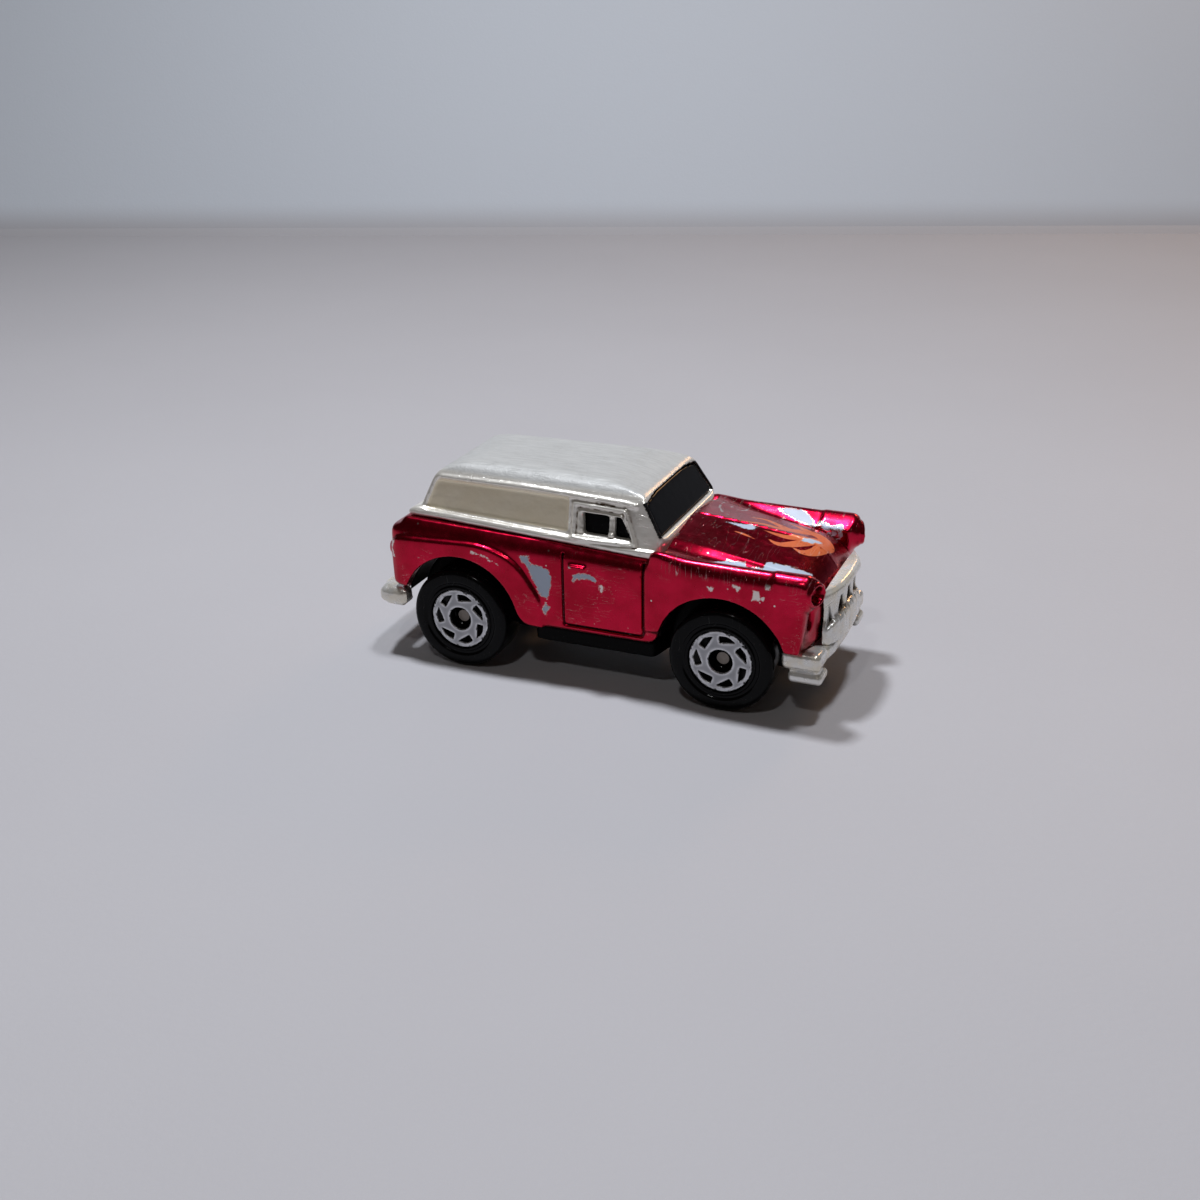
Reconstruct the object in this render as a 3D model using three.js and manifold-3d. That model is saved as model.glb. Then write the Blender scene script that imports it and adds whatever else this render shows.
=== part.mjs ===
// Micro-scale toy sedan-delivery car: bright plastic body in two tones on a black base,
// with two free-rolling wheel sets.
// Millimetres. +X is the front of the car, +Y its left side, +Z up; z = 0 is the floor.

import * as THREE from "three";
import { mergeVertices } from "three/addons/utils/BufferGeometryUtils.js";
import Module from "manifold-3d";

const wasm = await Module();
wasm.setup();

// ---- driving dimensions ---------------------------------------------------------------------

const TAIL_X = -17.8; // rear bumper's rearmost point
const NOSE_X = 17.8; // foremost point of the grille and front bumper
const WHEELBASE = 20.24;
const REAR_AXLE_X = -10.15;
const FRONT_AXLE_X = REAR_AXLE_X + WHEELBASE;

const WHEEL_RADIUS = 3.81;
const WHEEL_WIDTH = 2.9;
const WHEEL_OUTER_Y = 6.7; // outer face of each wheel
const WHEEL_FACE_RADIUS = 2.3; // bright pressed disc in the wheel's outer face
const WHEEL_FACE_WINDOWS = 7;
const WHEEL_FACE_THICKNESS = 0.2;
const WHEEL_FACE_SEAT = 0.35; // depth of the recess the face lies in
const WINDOW_INNER_RADIUS = 1.4; // of the swept windows in the face
const WINDOW_OUTER_RADIUS = 1.93;
const HUB_HOLE_RADIUS = 0.88;
const HUB_HOLE_DEPTH = 1.0;
const AXLE_END_INSET = 0.75; // from the wheel's outer face
const AXLE_RADIUS = 0.45;
const AXLE_Z = WHEEL_RADIUS;
const AXLE_RUNNING_GAP = 0.07; // axle to channel, on the radius
const PRESSED_GAP = 0.02; // between pieces that are pressed together
const SEAM_GAP = 0.05; // between pieces that rest against each other

const SILL_Z = 3.9; // lower edge of the doors
const BELT_Z = 10.35; // seam between lower body and roof
const DECK_THICKNESS = 0.8;
const WALL = 0.8;
const BODY_HALF_WIDTH = 6.4;
const REAR_FENDER_HALF_WIDTH = 6.75;
const FRONT_FENDER_HALF_WIDTH = 7.15;
const FRONT_FENDER_TOP_Z = 11.35; // at the fender's rear end, beside the cowl
const COWL_X = 5.75; // seam between roof and hood
const COWL_Z = 12.05;
const FENDER_FRONT_X = 16.15;
const NOSE_FRONT_X = 16.7; // front of the hood between the headlights
const LAMP_Y = 6.3; // centre of each headlight
const LAMP_Z = 9.6;
const LAMP_RADIUS = 0.9;
const LAMP_FRONT_X = 17.1;
const ARCH_RADIUS = 4.8;
const DOOR_REAR_X = -1.9;
const DOOR_FRONT_X = 4.34;
const DOOR_LOW_Z = 4.55;
const DOOR_HIGH_Z = 10.0;
const SHUT_LINE_WIDTH = 0.22;
const SHUT_LINE_DEPTH = 0.2;

const ROOF_Z = 15.4;
const ROOF_REAR_X = -14.7;
const ROOF_HALF_WIDTH = 5.85;
const ROOF_SKIN = 0.7;
const ROOF_TAPER = 0.0068; // share of its width that the roof loses for each mm towards the rear

const PANE_SILL_Z = 11.4; // of the door windows
const PANE_TOP_Z = 12.85;

const TOOTH_COUNT = 4; // in the grille
const TOOTH_PITCH = 1.82;
const TOOTH_HALF_WIDTH = 0.45;

const CHASSIS_BOTTOM_Z = 2.5;
const CHASSIS_TOP_Z = 3.7;
const CHASSIS_HALF_WIDTH = 5.2; // between the axles
const CHASSIS_NECK_HALF_WIDTH = 3.1; // between the wheels
const AXLE_BLOCK_HALF_LENGTH = 1.6;
const AXLE_BLOCK_TOP_Z = 4.3;
const KEEPER_HALF_WIDTH = 2.8;
const KEEPER_HEIGHT = 0.9;
const BUMPER_SEAM_Z = 5.2; // underside of the body above the front bumper
const REAR_BUMPER_TOP_Z = 5.6;
const LOWER_BLOCK_INNER_Y = 4.3; // the front bumper's lower blocks lie outside this
const RIVET_X = [-5.2, 4.6];
const RIVET_RADIUS = 0.4;
const RIVET_HEAD_RADIUS = 0.9;
const RIVET_HEAD_SINK = 0.5; // depth of the hole the head lies in
const POST_RADIUS = 1.0;

const CURVE_STEPS = 4;
const ROUND_STEPS = 32;
const SMALL_ROUND_STEPS = 24;
const ACROSS = 20; // longer than any half of the car, for cuts that go right through

// ---- shape helpers --------------------------------------------------------------------------

// A closed solid for joining and cutting, from any closed three.js geometry.
function solid(geometry) {
  geometry.deleteAttribute("normal");
  geometry.deleteAttribute("uv");
  const merged = mergeVertices(geometry, 1e-5);
  return new wasm.Manifold(
    new wasm.Mesh({
      numProp: 3,
      vertProperties: new Float32Array(merged.attributes.position.array),
      triVerts: new Uint32Array(merged.index.array),
    }),
  );
}

function extruded(shape, depth, steps = CURVE_STEPS) {
  return new THREE.ExtrudeGeometry(shape, { depth, bevelEnabled: false, curveSegments: steps });
}

// An outline drawn in X and Z, as seen from the side, made solid from yFrom to yTo.
function sideSlab(shape, yFrom, yTo, steps) {
  const geometry = extruded(shape, yTo - yFrom, steps);
  geometry.rotateX(Math.PI / 2);
  geometry.translate(0, yTo, 0);
  return solid(geometry);
}

// An outline drawn in X and Y, as seen from above, made solid from zFrom to zTo.
function planSlab(shape, zFrom, zTo, steps) {
  const geometry = extruded(shape, zTo - zFrom, steps);
  geometry.translate(0, 0, zFrom);
  return solid(geometry);
}

// An outline drawn in Y and Z, as seen from the front, made solid from xFrom to xTo.
function frontSlab(shape, xFrom, xTo, steps) {
  const geometry = extruded(shape, xTo - xFrom, steps);
  const turn = new THREE.Matrix4().makeBasis(
    new THREE.Vector3(0, 1, 0),
    new THREE.Vector3(0, 0, 1),
    new THREE.Vector3(1, 0, 0),
  );
  geometry.applyMatrix4(turn);
  geometry.translate(xFrom, 0, 0);
  return solid(geometry);
}

function box(xFrom, xTo, yFrom, yTo, zFrom, zTo) {
  const geometry = new THREE.BoxGeometry(xTo - xFrom, yTo - yFrom, zTo - zFrom);
  geometry.translate((xFrom + xTo) / 2, (yFrom + yTo) / 2, (zFrom + zTo) / 2);
  return solid(geometry);
}

// A round bar along Y.
function barAlongY(radius, x, z, yFrom, yTo, sides = ROUND_STEPS) {
  const geometry = new THREE.CylinderGeometry(radius, radius, yTo - yFrom, sides);
  geometry.translate(x, (yFrom + yTo) / 2, z);
  return solid(geometry);
}

// A round bar along X.
function barAlongX(radius, y, z, xFrom, xTo, sides = SMALL_ROUND_STEPS) {
  const geometry = new THREE.CylinderGeometry(radius, radius, xTo - xFrom, sides);
  geometry.rotateZ(Math.PI / 2);
  geometry.translate((xFrom + xTo) / 2, y, z);
  return solid(geometry);
}

// A round bar along Z.
function barAlongZ(radius, x, y, zFrom, zTo, sides = SMALL_ROUND_STEPS) {
  const geometry = new THREE.CylinderGeometry(radius, radius, zTo - zFrom, sides);
  geometry.rotateX(Math.PI / 2);
  geometry.translate(x, y, (zFrom + zTo) / 2);
  return solid(geometry);
}

function joinAll(solids) {
  return solids.reduce((sum, piece) => sum.add(piece));
}

// A closed outline that mirrors itself about out = 0. Its half is a list of corners on the
// positive side, each [along, out] or, for a rounded one, [along, out, cut]: the curve starts
// and ends that far from the corner. swap draws it with out as the first axis.
function mirroredOutline(half, swap = false) {
  const upper = half.map(([along, out, cut = 0]) => ({ along, out, cut }));
  const lower = upper.filter((corner) => corner.out > 0).map((corner) => ({ ...corner, out: -corner.out }));
  return roundedOutline([...upper, ...lower.reverse()], swap);
}

function roundedOutline(corners, swap = false) {
  const points = corners.map(({ along, out }) => new THREE.Vector2(swap ? out : along, swap ? along : out));
  const shape = new THREE.Shape();
  points.forEach((point, index) => {
    const before = points[(index + points.length - 1) % points.length];
    const after = points[(index + 1) % points.length];
    const room = 0.49 * Math.min(point.distanceTo(before), point.distanceTo(after));
    const cut = Math.min(corners[index].cut, room);
    const start = point.clone().add(before.clone().sub(point).setLength(cut));
    const end = point.clone().add(after.clone().sub(point).setLength(cut));
    if (index === 0) shape.moveTo(start.x, start.y);
    else shape.lineTo(start.x, start.y);
    if (cut > 0) shape.quadraticCurveTo(point.x, point.y, end.x, end.y);
  });
  shape.closePath();
  return shape;
}

// A closed outline through corners written as [a, b] or, for a rounded one, [a, b, cut].
function outline(corners) {
  return roundedOutline(corners.map(([along, out, cut = 0]) => ({ along, out, cut })));
}

// ---- lower body -----------------------------------------------------------------------------

function bodySideOutline() {
  return outline([
    [-14.7, REAR_BUMPER_TOP_Z + SEAM_GAP],
    [-15.9, REAR_BUMPER_TOP_Z + SEAM_GAP, 0.3],
    [-16.3, 7.4, 0.6],
    [-16.25, 9.8, 1.0],
    [-14.5, BELT_Z, 0.4],
    [COWL_X, BELT_Z],
    [COWL_X, COWL_Z],
    [9.5, 11.85, 2.0],
    [14.6, 11.25, 1.6],
    [NOSE_FRONT_X - 0.1, 9.9, 1.0],
    [NOSE_FRONT_X, BUMPER_SEAM_Z],
    [14.4, BUMPER_SEAM_Z],
    [14.4, SILL_Z],
    [-14.7, SILL_Z],
  ]);
}

function bodyPlanOutline() {
  return mirroredOutline([
    [-16.5, 0],
    [-16.4, 5.7, 1.2],
    [-14.6, BODY_HALF_WIDTH, 0.6],
    [7.0, BODY_HALF_WIDTH, 1.0],
    [15.6, 6.2, 0.4],
    [NOSE_FRONT_X, 3.6, 1.2],
  ]);
}

// The section across the car: sills, sides, rounded shoulder, then the two planes of the hood.
function bodySectionOutline() {
  return mirroredOutline(
    [
      [3.0, 6.2],
      [5.2, 6.6, 0.8],
      [9.3, 6.7, 0.8],
      [10.3, 5.9, 0.4],
      [10.6, 5.2, 0.4],
      [11.25, 4.2, 0.6],
      [12.1, 0],
    ],
    true,
  );
}

function rearFenderOutline() {
  return outline([
    [-14.7, 5.7],
    [-15.8, 5.7],
    [-15.9, 9.3, 1.4],
    [-7.3, 9.75, 1.6],
    [-5.0, 8.9, 1.2],
    [-3.2, 6.2, 0.8],
    [-3.0, 4.4, 0.4],
    [-14.7, 4.4],
  ]);
}

// Both front fenders: a crowned roll above the arch, swelling out from the door.
function frontFenders() {
  const section = [];
  for (const side of [-1, 1]) {
    const shape = outline([
      [side * 4.8, BUMPER_SEAM_Z],
      [side * (FRONT_FENDER_HALF_WIDTH - 0.25), BUMPER_SEAM_Z],
      [side * FRONT_FENDER_HALF_WIDTH, 8.5, 0.6],
      [side * FRONT_FENDER_HALF_WIDTH, 10.2, 0.7],
      [side * 6.45, FRONT_FENDER_TOP_Z, 0.5],
      [side * 5.7, FRONT_FENDER_TOP_Z - 0.5, 0.4],
      [side * 4.8, 10.2],
    ]);
    section.push(frontSlab(shape, 4.4, FENDER_FRONT_X));
  }
  const plan = mirroredOutline([
    [4.4, BODY_HALF_WIDTH - 0.02, 0.5],
    [8.2, FRONT_FENDER_HALF_WIDTH + 0.1, 1.6],
    [FENDER_FRONT_X - 0.1, FRONT_FENDER_HALF_WIDTH + 0.1, 0.5],
    [FENDER_FRONT_X, 4.8],
  ]);
  const side = outline([
    [4.4, BUMPER_SEAM_Z],
    [FENDER_FRONT_X - 0.5, BUMPER_SEAM_Z],
    [FENDER_FRONT_X, 9.0],
    [FENDER_FRONT_X, 10.95, 0.3],
    [8.0, 11.05, 1.0],
    [4.8, FRONT_FENDER_TOP_Z, 0.8],
    [4.4, 9.8, 0.4],
  ]);
  return joinAll(section).intersect(planSlab(plan, 0, ACROSS)).intersect(sideSlab(side, -ACROSS, ACROSS));
}

function headlights() {
  const pieces = [];
  for (const side of [-1, 1]) {
    const y = side * LAMP_Y;
    pieces.push(barAlongX(LAMP_RADIUS, y, LAMP_Z, FENDER_FRONT_X - 1, LAMP_FRONT_X - 0.4));
    pieces.push(barAlongX(LAMP_RADIUS - 0.15, y, LAMP_Z, FENDER_FRONT_X - 1, LAMP_FRONT_X));
  }
  return joinAll(pieces);
}

function wheelArches() {
  return joinAll(
    [REAR_AXLE_X, FRONT_AXLE_X].map((x) =>
      barAlongY(ARCH_RADIUS, x, AXLE_Z + 0.05, -ACROSS, ACROSS),
    ),
  );
}

// Shut lines of both doors, cut a little into the body sides.
function doorGrooves() {
  const grooves = [];
  for (const side of [-1, 1]) {
    const inner = side * (BODY_HALF_WIDTH - SHUT_LINE_DEPTH);
    const outer = side * (BODY_HALF_WIDTH + 1);
    const [yFrom, yTo] = [Math.min(inner, outer), Math.max(inner, outer)];
    grooves.push(box(DOOR_REAR_X, DOOR_REAR_X + SHUT_LINE_WIDTH, yFrom, yTo, DOOR_LOW_Z, DOOR_HIGH_Z));
    grooves.push(box(DOOR_FRONT_X - SHUT_LINE_WIDTH, DOOR_FRONT_X, yFrom, yTo, DOOR_LOW_Z, DOOR_HIGH_Z));
    grooves.push(box(DOOR_REAR_X, DOOR_FRONT_X, yFrom, yTo, DOOR_LOW_Z, DOOR_LOW_Z + SHUT_LINE_WIDTH));
  }
  return joinAll(grooves);
}

function doorHandles() {
  return joinAll(
    [-1, 1].map((side) => {
      const y = side * (BODY_HALF_WIDTH - 0.05);
      return box(-1.3, 0.0, y - 0.2, y + 0.2, 9.15, 9.4);
    }),
  );
}

function bodyCavity() {
  const inner = BODY_HALF_WIDTH - WALL;
  const cabin = box(-15.3, COWL_X + 0.5, -inner, inner, 2, BELT_Z - DECK_THICKNESS);
  const engineBay = box(4, NOSE_FRONT_X - 2 * WALL, -4.6, 4.6, 2, 9.2);
  const upper = box(COWL_X + WALL, 13.6, -3.4, 3.4, 9, 10.4);
  return cabin.add(engineBay).add(upper);
}

// The space above the belt that the roof stands in.
function roofSeat() {
  const half = ROOF_HALF_WIDTH + SEAM_GAP;
  return box(-ACROSS, COWL_X, -half, half, BELT_Z, ACROSS);
}

function rivetPosts() {
  return joinAll(
    RIVET_X.map((x) => barAlongZ(POST_RADIUS, x, 0, CHASSIS_TOP_Z + SEAM_GAP, BELT_Z - 0.3)),
  );
}

function rivetPostBores() {
  return joinAll(
    RIVET_X.map((x) => barAlongZ(RIVET_RADIUS + PRESSED_GAP, x, 0, 2, CHASSIS_TOP_Z + 2.3)),
  );
}

function bodyShell() {
  const side = sideSlab(bodySideOutline(), -ACROSS, ACROSS);
  const plan = planSlab(bodyPlanOutline(), 0, ACROSS);
  const section = frontSlab(bodySectionOutline(), -ACROSS, ACROSS);
  const rearFenders = sideSlab(rearFenderOutline(), -REAR_FENDER_HALF_WIDTH, REAR_FENDER_HALF_WIDTH);
  const tub = side.intersect(plan).intersect(section);
  return tub
    .add(rearFenders)
    .add(frontFenders())
    .add(headlights())
    .add(doorHandles())
    .subtract(doorGrooves())
    .subtract(bodyCavity())
    .subtract(roofSeat())
    .subtract(wheelArches())
    .add(rivetPosts())
    .subtract(rivetPostBores());
}

// ---- roof -----------------------------------------------------------------------------------

// The roof and cabin as a solid block, drawn in by inset on every side but its base.
function cabinBlock(inset, baseZ) {
  const side = outline([
    [ROOF_REAR_X + inset, baseZ],
    [ROOF_REAR_X + inset, 10.9],
    [-14.0 + inset, 11.5],
    [-12.5 + inset, 14.7 - inset, 0.7],
    [-10.2, ROOF_Z - 0.15 - inset, 1.2],
    [-4.5, ROOF_Z - inset, 2.5],
    [1.0, ROOF_Z - 0.3 - inset, 2.0],
    [3.75 - inset, 14.5 - inset, 0.5],
    [5.5 - inset, 11.75],
    [COWL_X - SEAM_GAP - inset, 11.7],
    [COWL_X - SEAM_GAP - inset, baseZ],
  ]);
  const section = mirroredOutline(
    [
      [baseZ, ROOF_HALF_WIDTH - inset],
      [11.0, ROOF_HALF_WIDTH - inset],
      [11.2, ROOF_HALF_WIDTH - 0.2 - inset],
      [14.3 - inset, 5.1 - inset, 0.7],
      [15.0 - inset, 3.9, 1.0],
      [ROOF_Z + 0.05 - inset, 0, 1.5],
    ],
    true,
  );
  const plan = mirroredOutline([
    [ROOF_REAR_X + inset, ROOF_HALF_WIDTH + 0.1 - inset, 0.8],
    [5.0 - inset, ROOF_HALF_WIDTH + 0.1 - inset, 0.5],
    [COWL_X - inset, 4.2, 1.5],
  ]);
  return sideSlab(side, -ACROSS, ACROSS)
    .intersect(frontSlab(section, -ACROSS, ACROSS))
    .intersect(planSlab(plan, 0, ACROSS));
}

// Openings for the windscreen, the two panes of each door window, and the rear window.
function windowOpenings() {
  const windscreen = frontSlab(
    mirroredOutline([[12.0, 5.1, 0.5], [14.0, 4.6, 0.5]], true),
    2.6,
    ACROSS,
  );
  const rearWindow = frontSlab(
    mirroredOutline([[12.0, 3.6, 0.4], [13.8, 3.2, 0.4]], true),
    -ACROSS,
    -11.5,
  );
  const [low, high] = [PANE_SILL_Z, PANE_TOP_Z];
  const doorPane = outline([[-0.5, low, 0.2], [1.4, low, 0.1], [1.4, high, 0.2], [-0.6, high, 0.2]]);
  const ventPane = outline([[1.8, low, 0.1], [3.2, low, 0.1], [2.3, high, 0.1], [1.8, high, 0.1]]);
  return windscreen
    .add(rearWindow)
    .add(sideSlab(doorPane, -ACROSS, ACROSS))
    .add(sideSlab(ventPane, -ACROSS, ACROSS));
}

// Shallow field pressed into each side of the roof behind the door window.
function sidePanelFields() {
  const field = outline([[-13.0, 11.6, 0.3], [-1.8, 11.6, 0.3], [-1.8, 13.5, 0.3], [-12.2, 13.7, 0.3]]);
  const outer = sideSlab(field, -ACROSS, ACROSS);
  const keep = frontSlab(
    mirroredOutline([[9, 5.7], [11.2, 5.5], [14.4, 4.9]], true),
    -ACROSS,
    ACROSS,
  );
  return outer.subtract(keep);
}

function roofShell() {
  return cabinBlock(0, BELT_Z + SEAM_GAP)
    .subtract(cabinBlock(ROOF_SKIN, BELT_Z - 1))
    .subtract(sidePanelFields())
    .subtract(windowOpenings());
}

function windowInsert() {
  const outer = cabinBlock(ROOF_SKIN + SEAM_GAP, BELT_Z + SEAM_GAP);
  const inner = cabinBlock(ROOF_SKIN + SEAM_GAP + 0.6, BELT_Z - 1);
  return outer.subtract(inner).subtract(box(-ACROSS, ACROSS, -ACROSS, ACROSS, 14.2, ACROSS));
}

// ---- front and rear trim --------------------------------------------------------------------

// A crescent as seen from above, with its belly at bellyX and its arms reaching back to armX.
// fullness is the share of the half width over which the belly stays nearly flat.
function crescent(bellyX, armX, halfWidth, thickness, fullness = 0.85) {
  const out = Math.sign(bellyX);
  const shape = new THREE.Shape();
  const innerX = bellyX - out * thickness;
  const innerHalf = halfWidth - thickness;
  const corner = out * 0.5;
  const flat = halfWidth * fullness;
  const innerFlat = innerHalf * fullness;
  shape.moveTo(armX, -halfWidth);
  shape.bezierCurveTo(bellyX - corner, -halfWidth, bellyX, -flat, bellyX, 0);
  shape.bezierCurveTo(bellyX, flat, bellyX - corner, halfWidth, armX, halfWidth);
  shape.lineTo(armX, innerHalf);
  shape.bezierCurveTo(innerX - corner, innerHalf, innerX, innerFlat, innerX, 0);
  shape.bezierCurveTo(innerX, -innerFlat, innerX - corner, -innerHalf, armX, -innerHalf);
  shape.closePath();
  return shape;
}

function frontBumper() {
  const bar = planSlab(crescent(NOSE_X - 0.35, 14.3, 6.2, 1.3), 3.9, BUMPER_SEAM_Z - SEAM_GAP);
  const web = planSlab(crescent(NOSE_X - 0.5, 14.7, 5.9, 0.9), 3.4, 4.0);
  const lower = planSlab(crescent(NOSE_X - 0.4, 14.8, 6.05, 1.2), 2.85, 3.6);
  const between = box(0, ACROSS, -LOWER_BLOCK_INNER_Y, LOWER_BLOCK_INNER_Y, 0, ACROSS);
  return bar.add(web.add(lower).subtract(between));
}

function rearBumper() {
  const bar = planSlab(crescent(TAIL_X, -14.8, 6.5, 1.5), 4.1, REAR_BUMPER_TOP_Z);
  const lip = planSlab(crescent(TAIL_X + 0.15, -15.0, 6.3, 1.2), 3.9, 4.3);
  return bar.add(lip);
}

// Oval mouth with a thick lip, a row of pointed teeth and a smooth lower panel.
function grille() {
  const backX = NOSE_FRONT_X + SEAM_GAP;
  const low = BUMPER_SEAM_Z + SEAM_GAP;
  const oval = mirroredOutline([[low, 4.0, 1.3], [8.4, 4.2, 1.2], [9.2, 2.4, 0.9], [9.3, 0]], true);
  const mouth = mirroredOutline([[6.6, 3.3, 0.6], [8.0, 3.5, 0.6], [8.6, 2.0, 0.5], [8.65, 0]], true);
  const bulge = crescent(NOSE_X, backX - 0.9, 4.4, 4.3, 0.95);
  const panel = frontSlab(oval, backX, NOSE_X + 1);
  const opening = frontSlab(mouth, backX + 0.35, NOSE_X + 1);
  const teeth = [];
  for (let index = 0; index < TOOTH_COUNT; index += 1) {
    const y = (index - (TOOTH_COUNT - 1) / 2) * TOOTH_PITCH;
    const tooth = outline([[backX + 0.2, 6.5], [17.6, 6.5], [17.3, 7.6], [backX + 0.2, 8.7]]);
    teeth.push(sideSlab(tooth, y - TOOTH_HALF_WIDTH, y + TOOTH_HALF_WIDTH));
  }
  return panel
    .subtract(opening)
    .add(joinAll(teeth).intersect(panel))
    .intersect(planSlab(bulge, 0, ACROSS).add(box(backX - 1, backX + 0.4, -4.2, 4.2, 0, ACROSS)));
}

// ---- base, axles and fixings ----------------------------------------------------------------

function chassisPlanOutline() {
  return mirroredOutline([
    [-14.6, CHASSIS_NECK_HALF_WIDTH, 0.5],
    [-5.1, CHASSIS_NECK_HALF_WIDTH],
    [-4.6, CHASSIS_HALF_WIDTH, 0.4],
    [4.7, CHASSIS_HALF_WIDTH, 0.4],
    [5.2, CHASSIS_NECK_HALF_WIDTH],
    [14.3, CHASSIS_NECK_HALF_WIDTH, 0.5],
  ]);
}

// A block that straddles an axle, long enough to hold it.
function axleBlock(x, halfWidth, zFrom, zTo) {
  return box(x - AXLE_BLOCK_HALF_LENGTH, x + AXLE_BLOCK_HALF_LENGTH, -halfWidth, halfWidth, zFrom, zTo);
}

function axleChannel(x) {
  const radius = AXLE_RADIUS + AXLE_RUNNING_GAP;
  const round = barAlongY(radius, x, AXLE_Z, -ACROSS, ACROSS, SMALL_ROUND_STEPS);
  return round.add(box(x - radius, x + radius, -ACROSS, ACROSS, AXLE_Z, AXLE_Z + 2));
}

function chassis() {
  let base = planSlab(chassisPlanOutline(), CHASSIS_BOTTOM_Z, CHASSIS_TOP_Z);
  for (const x of [REAR_AXLE_X, FRONT_AXLE_X]) {
    const block = axleBlock(x, CHASSIS_NECK_HALF_WIDTH, CHASSIS_BOTTOM_Z, AXLE_BLOCK_TOP_Z);
    base = base.add(block).subtract(axleChannel(x));
  }
  for (const x of RIVET_X) {
    base = base.subtract(barAlongZ(RIVET_RADIUS + PRESSED_GAP, x, 0, 0, ACROSS));
    base = base.subtract(barAlongZ(RIVET_HEAD_RADIUS + SEAM_GAP, x, 0, 0, CHASSIS_BOTTOM_Z + RIVET_HEAD_SINK));
  }
  return base;
}

// A saddle that closes an axle channel from above.
function axleKeeper(x) {
  const radius = AXLE_RADIUS + AXLE_RUNNING_GAP;
  const half = KEEPER_HALF_WIDTH;
  const cap = axleBlock(x, half, AXLE_BLOCK_TOP_Z + PRESSED_GAP, AXLE_BLOCK_TOP_Z + KEEPER_HEIGHT);
  const tongueHalf = radius - PRESSED_GAP;
  const tongue = box(x - tongueHalf, x + tongueHalf, -half, half, AXLE_Z + 0.2, AXLE_BLOCK_TOP_Z + 0.5);
  return cap.add(tongue).subtract(barAlongY(radius, x, AXLE_Z, -ACROSS, ACROSS, SMALL_ROUND_STEPS));
}

function axle(x) {
  const end = WHEEL_OUTER_Y - AXLE_END_INSET;
  return barAlongY(AXLE_RADIUS, x, AXLE_Z, -end, end, SMALL_ROUND_STEPS);
}

function rivet(x) {
  const head = barAlongZ(RIVET_HEAD_RADIUS, x, 0, CHASSIS_BOTTOM_Z + 0.1, CHASSIS_BOTTOM_Z + RIVET_HEAD_SINK - PRESSED_GAP);
  const shank = barAlongZ(RIVET_RADIUS, x, 0, CHASSIS_BOTTOM_Z + 0.3, CHASSIS_TOP_Z + 2.2);
  return head.add(shank);
}

// ---- wheels ---------------------------------------------------------------------------------

// One wheel about its own axis, which is the Y axis: outer face at +Y, centred on the origin.
function wheelGeometry() {
  const half = WHEEL_WIDTH / 2;
  const recess = WHEEL_FACE_RADIUS + SEAM_GAP;
  const bore = AXLE_RADIUS + PRESSED_GAP;
  const profile = new THREE.Path();
  profile.moveTo(bore, -half + 0.2);
  profile.lineTo(WHEEL_RADIUS - 0.7, -half);
  profile.quadraticCurveTo(WHEEL_RADIUS, -half, WHEEL_RADIUS, -half + 0.6);
  profile.lineTo(WHEEL_RADIUS, half - 0.9);
  profile.quadraticCurveTo(WHEEL_RADIUS - 0.05, half, WHEEL_RADIUS - 1.0, half);
  profile.lineTo(recess, half - 0.05);
  profile.lineTo(recess, half - WHEEL_FACE_SEAT);
  profile.lineTo(HUB_HOLE_RADIUS, half - WHEEL_FACE_SEAT);
  profile.lineTo(HUB_HOLE_RADIUS, half - HUB_HOLE_DEPTH);
  profile.lineTo(bore, half - HUB_HOLE_DEPTH);
  profile.lineTo(bore, -half + 0.2);
  return new THREE.LatheGeometry(profile.getPoints(3), ROUND_STEPS);
}

// The bright pressed face: a thin disc with a ring of swept windows around its hub hole.
function wheelFaceGeometry() {
  const shape = new THREE.Shape();
  shape.absarc(0, 0, WHEEL_FACE_RADIUS, 0, Math.PI);
  shape.absarc(0, 0, WHEEL_FACE_RADIUS, Math.PI, Math.PI * 2);
  const hub = new THREE.Path();
  hub.absarc(0, 0, HUB_HOLE_RADIUS, 0, Math.PI * 2, true);
  shape.holes.push(hub);
  for (let index = 0; index < WHEEL_FACE_WINDOWS; index += 1) {
    const turn = (index * 2 * Math.PI) / WHEEL_FACE_WINDOWS;
    const at = (radius, angle) =>
      new THREE.Vector2(radius * Math.cos(turn + angle), radius * Math.sin(turn + angle));
    const inner = at(WINDOW_INNER_RADIUS, -0.28);
    const outer = at(WINDOW_OUTER_RADIUS, -0.3);
    const crown = at(WINDOW_OUTER_RADIUS + 0.07, 0.03);
    const tip = at(WINDOW_OUTER_RADIUS, 0.36);
    const window = new THREE.Path();
    window.moveTo(inner.x, inner.y);
    window.lineTo(outer.x, outer.y);
    window.quadraticCurveTo(crown.x, crown.y, tip.x, tip.y);
    window.closePath();
    shape.holes.push(window);
  }
  const geometry = extruded(shape, WHEEL_FACE_THICKNESS, 8);
  geometry.rotateX(-Math.PI / 2);
  geometry.translate(0, WHEEL_WIDTH / 2 - WHEEL_FACE_SEAT + PRESSED_GAP, 0);
  return geometry;
}

// ---- assembly -------------------------------------------------------------------------------

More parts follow.
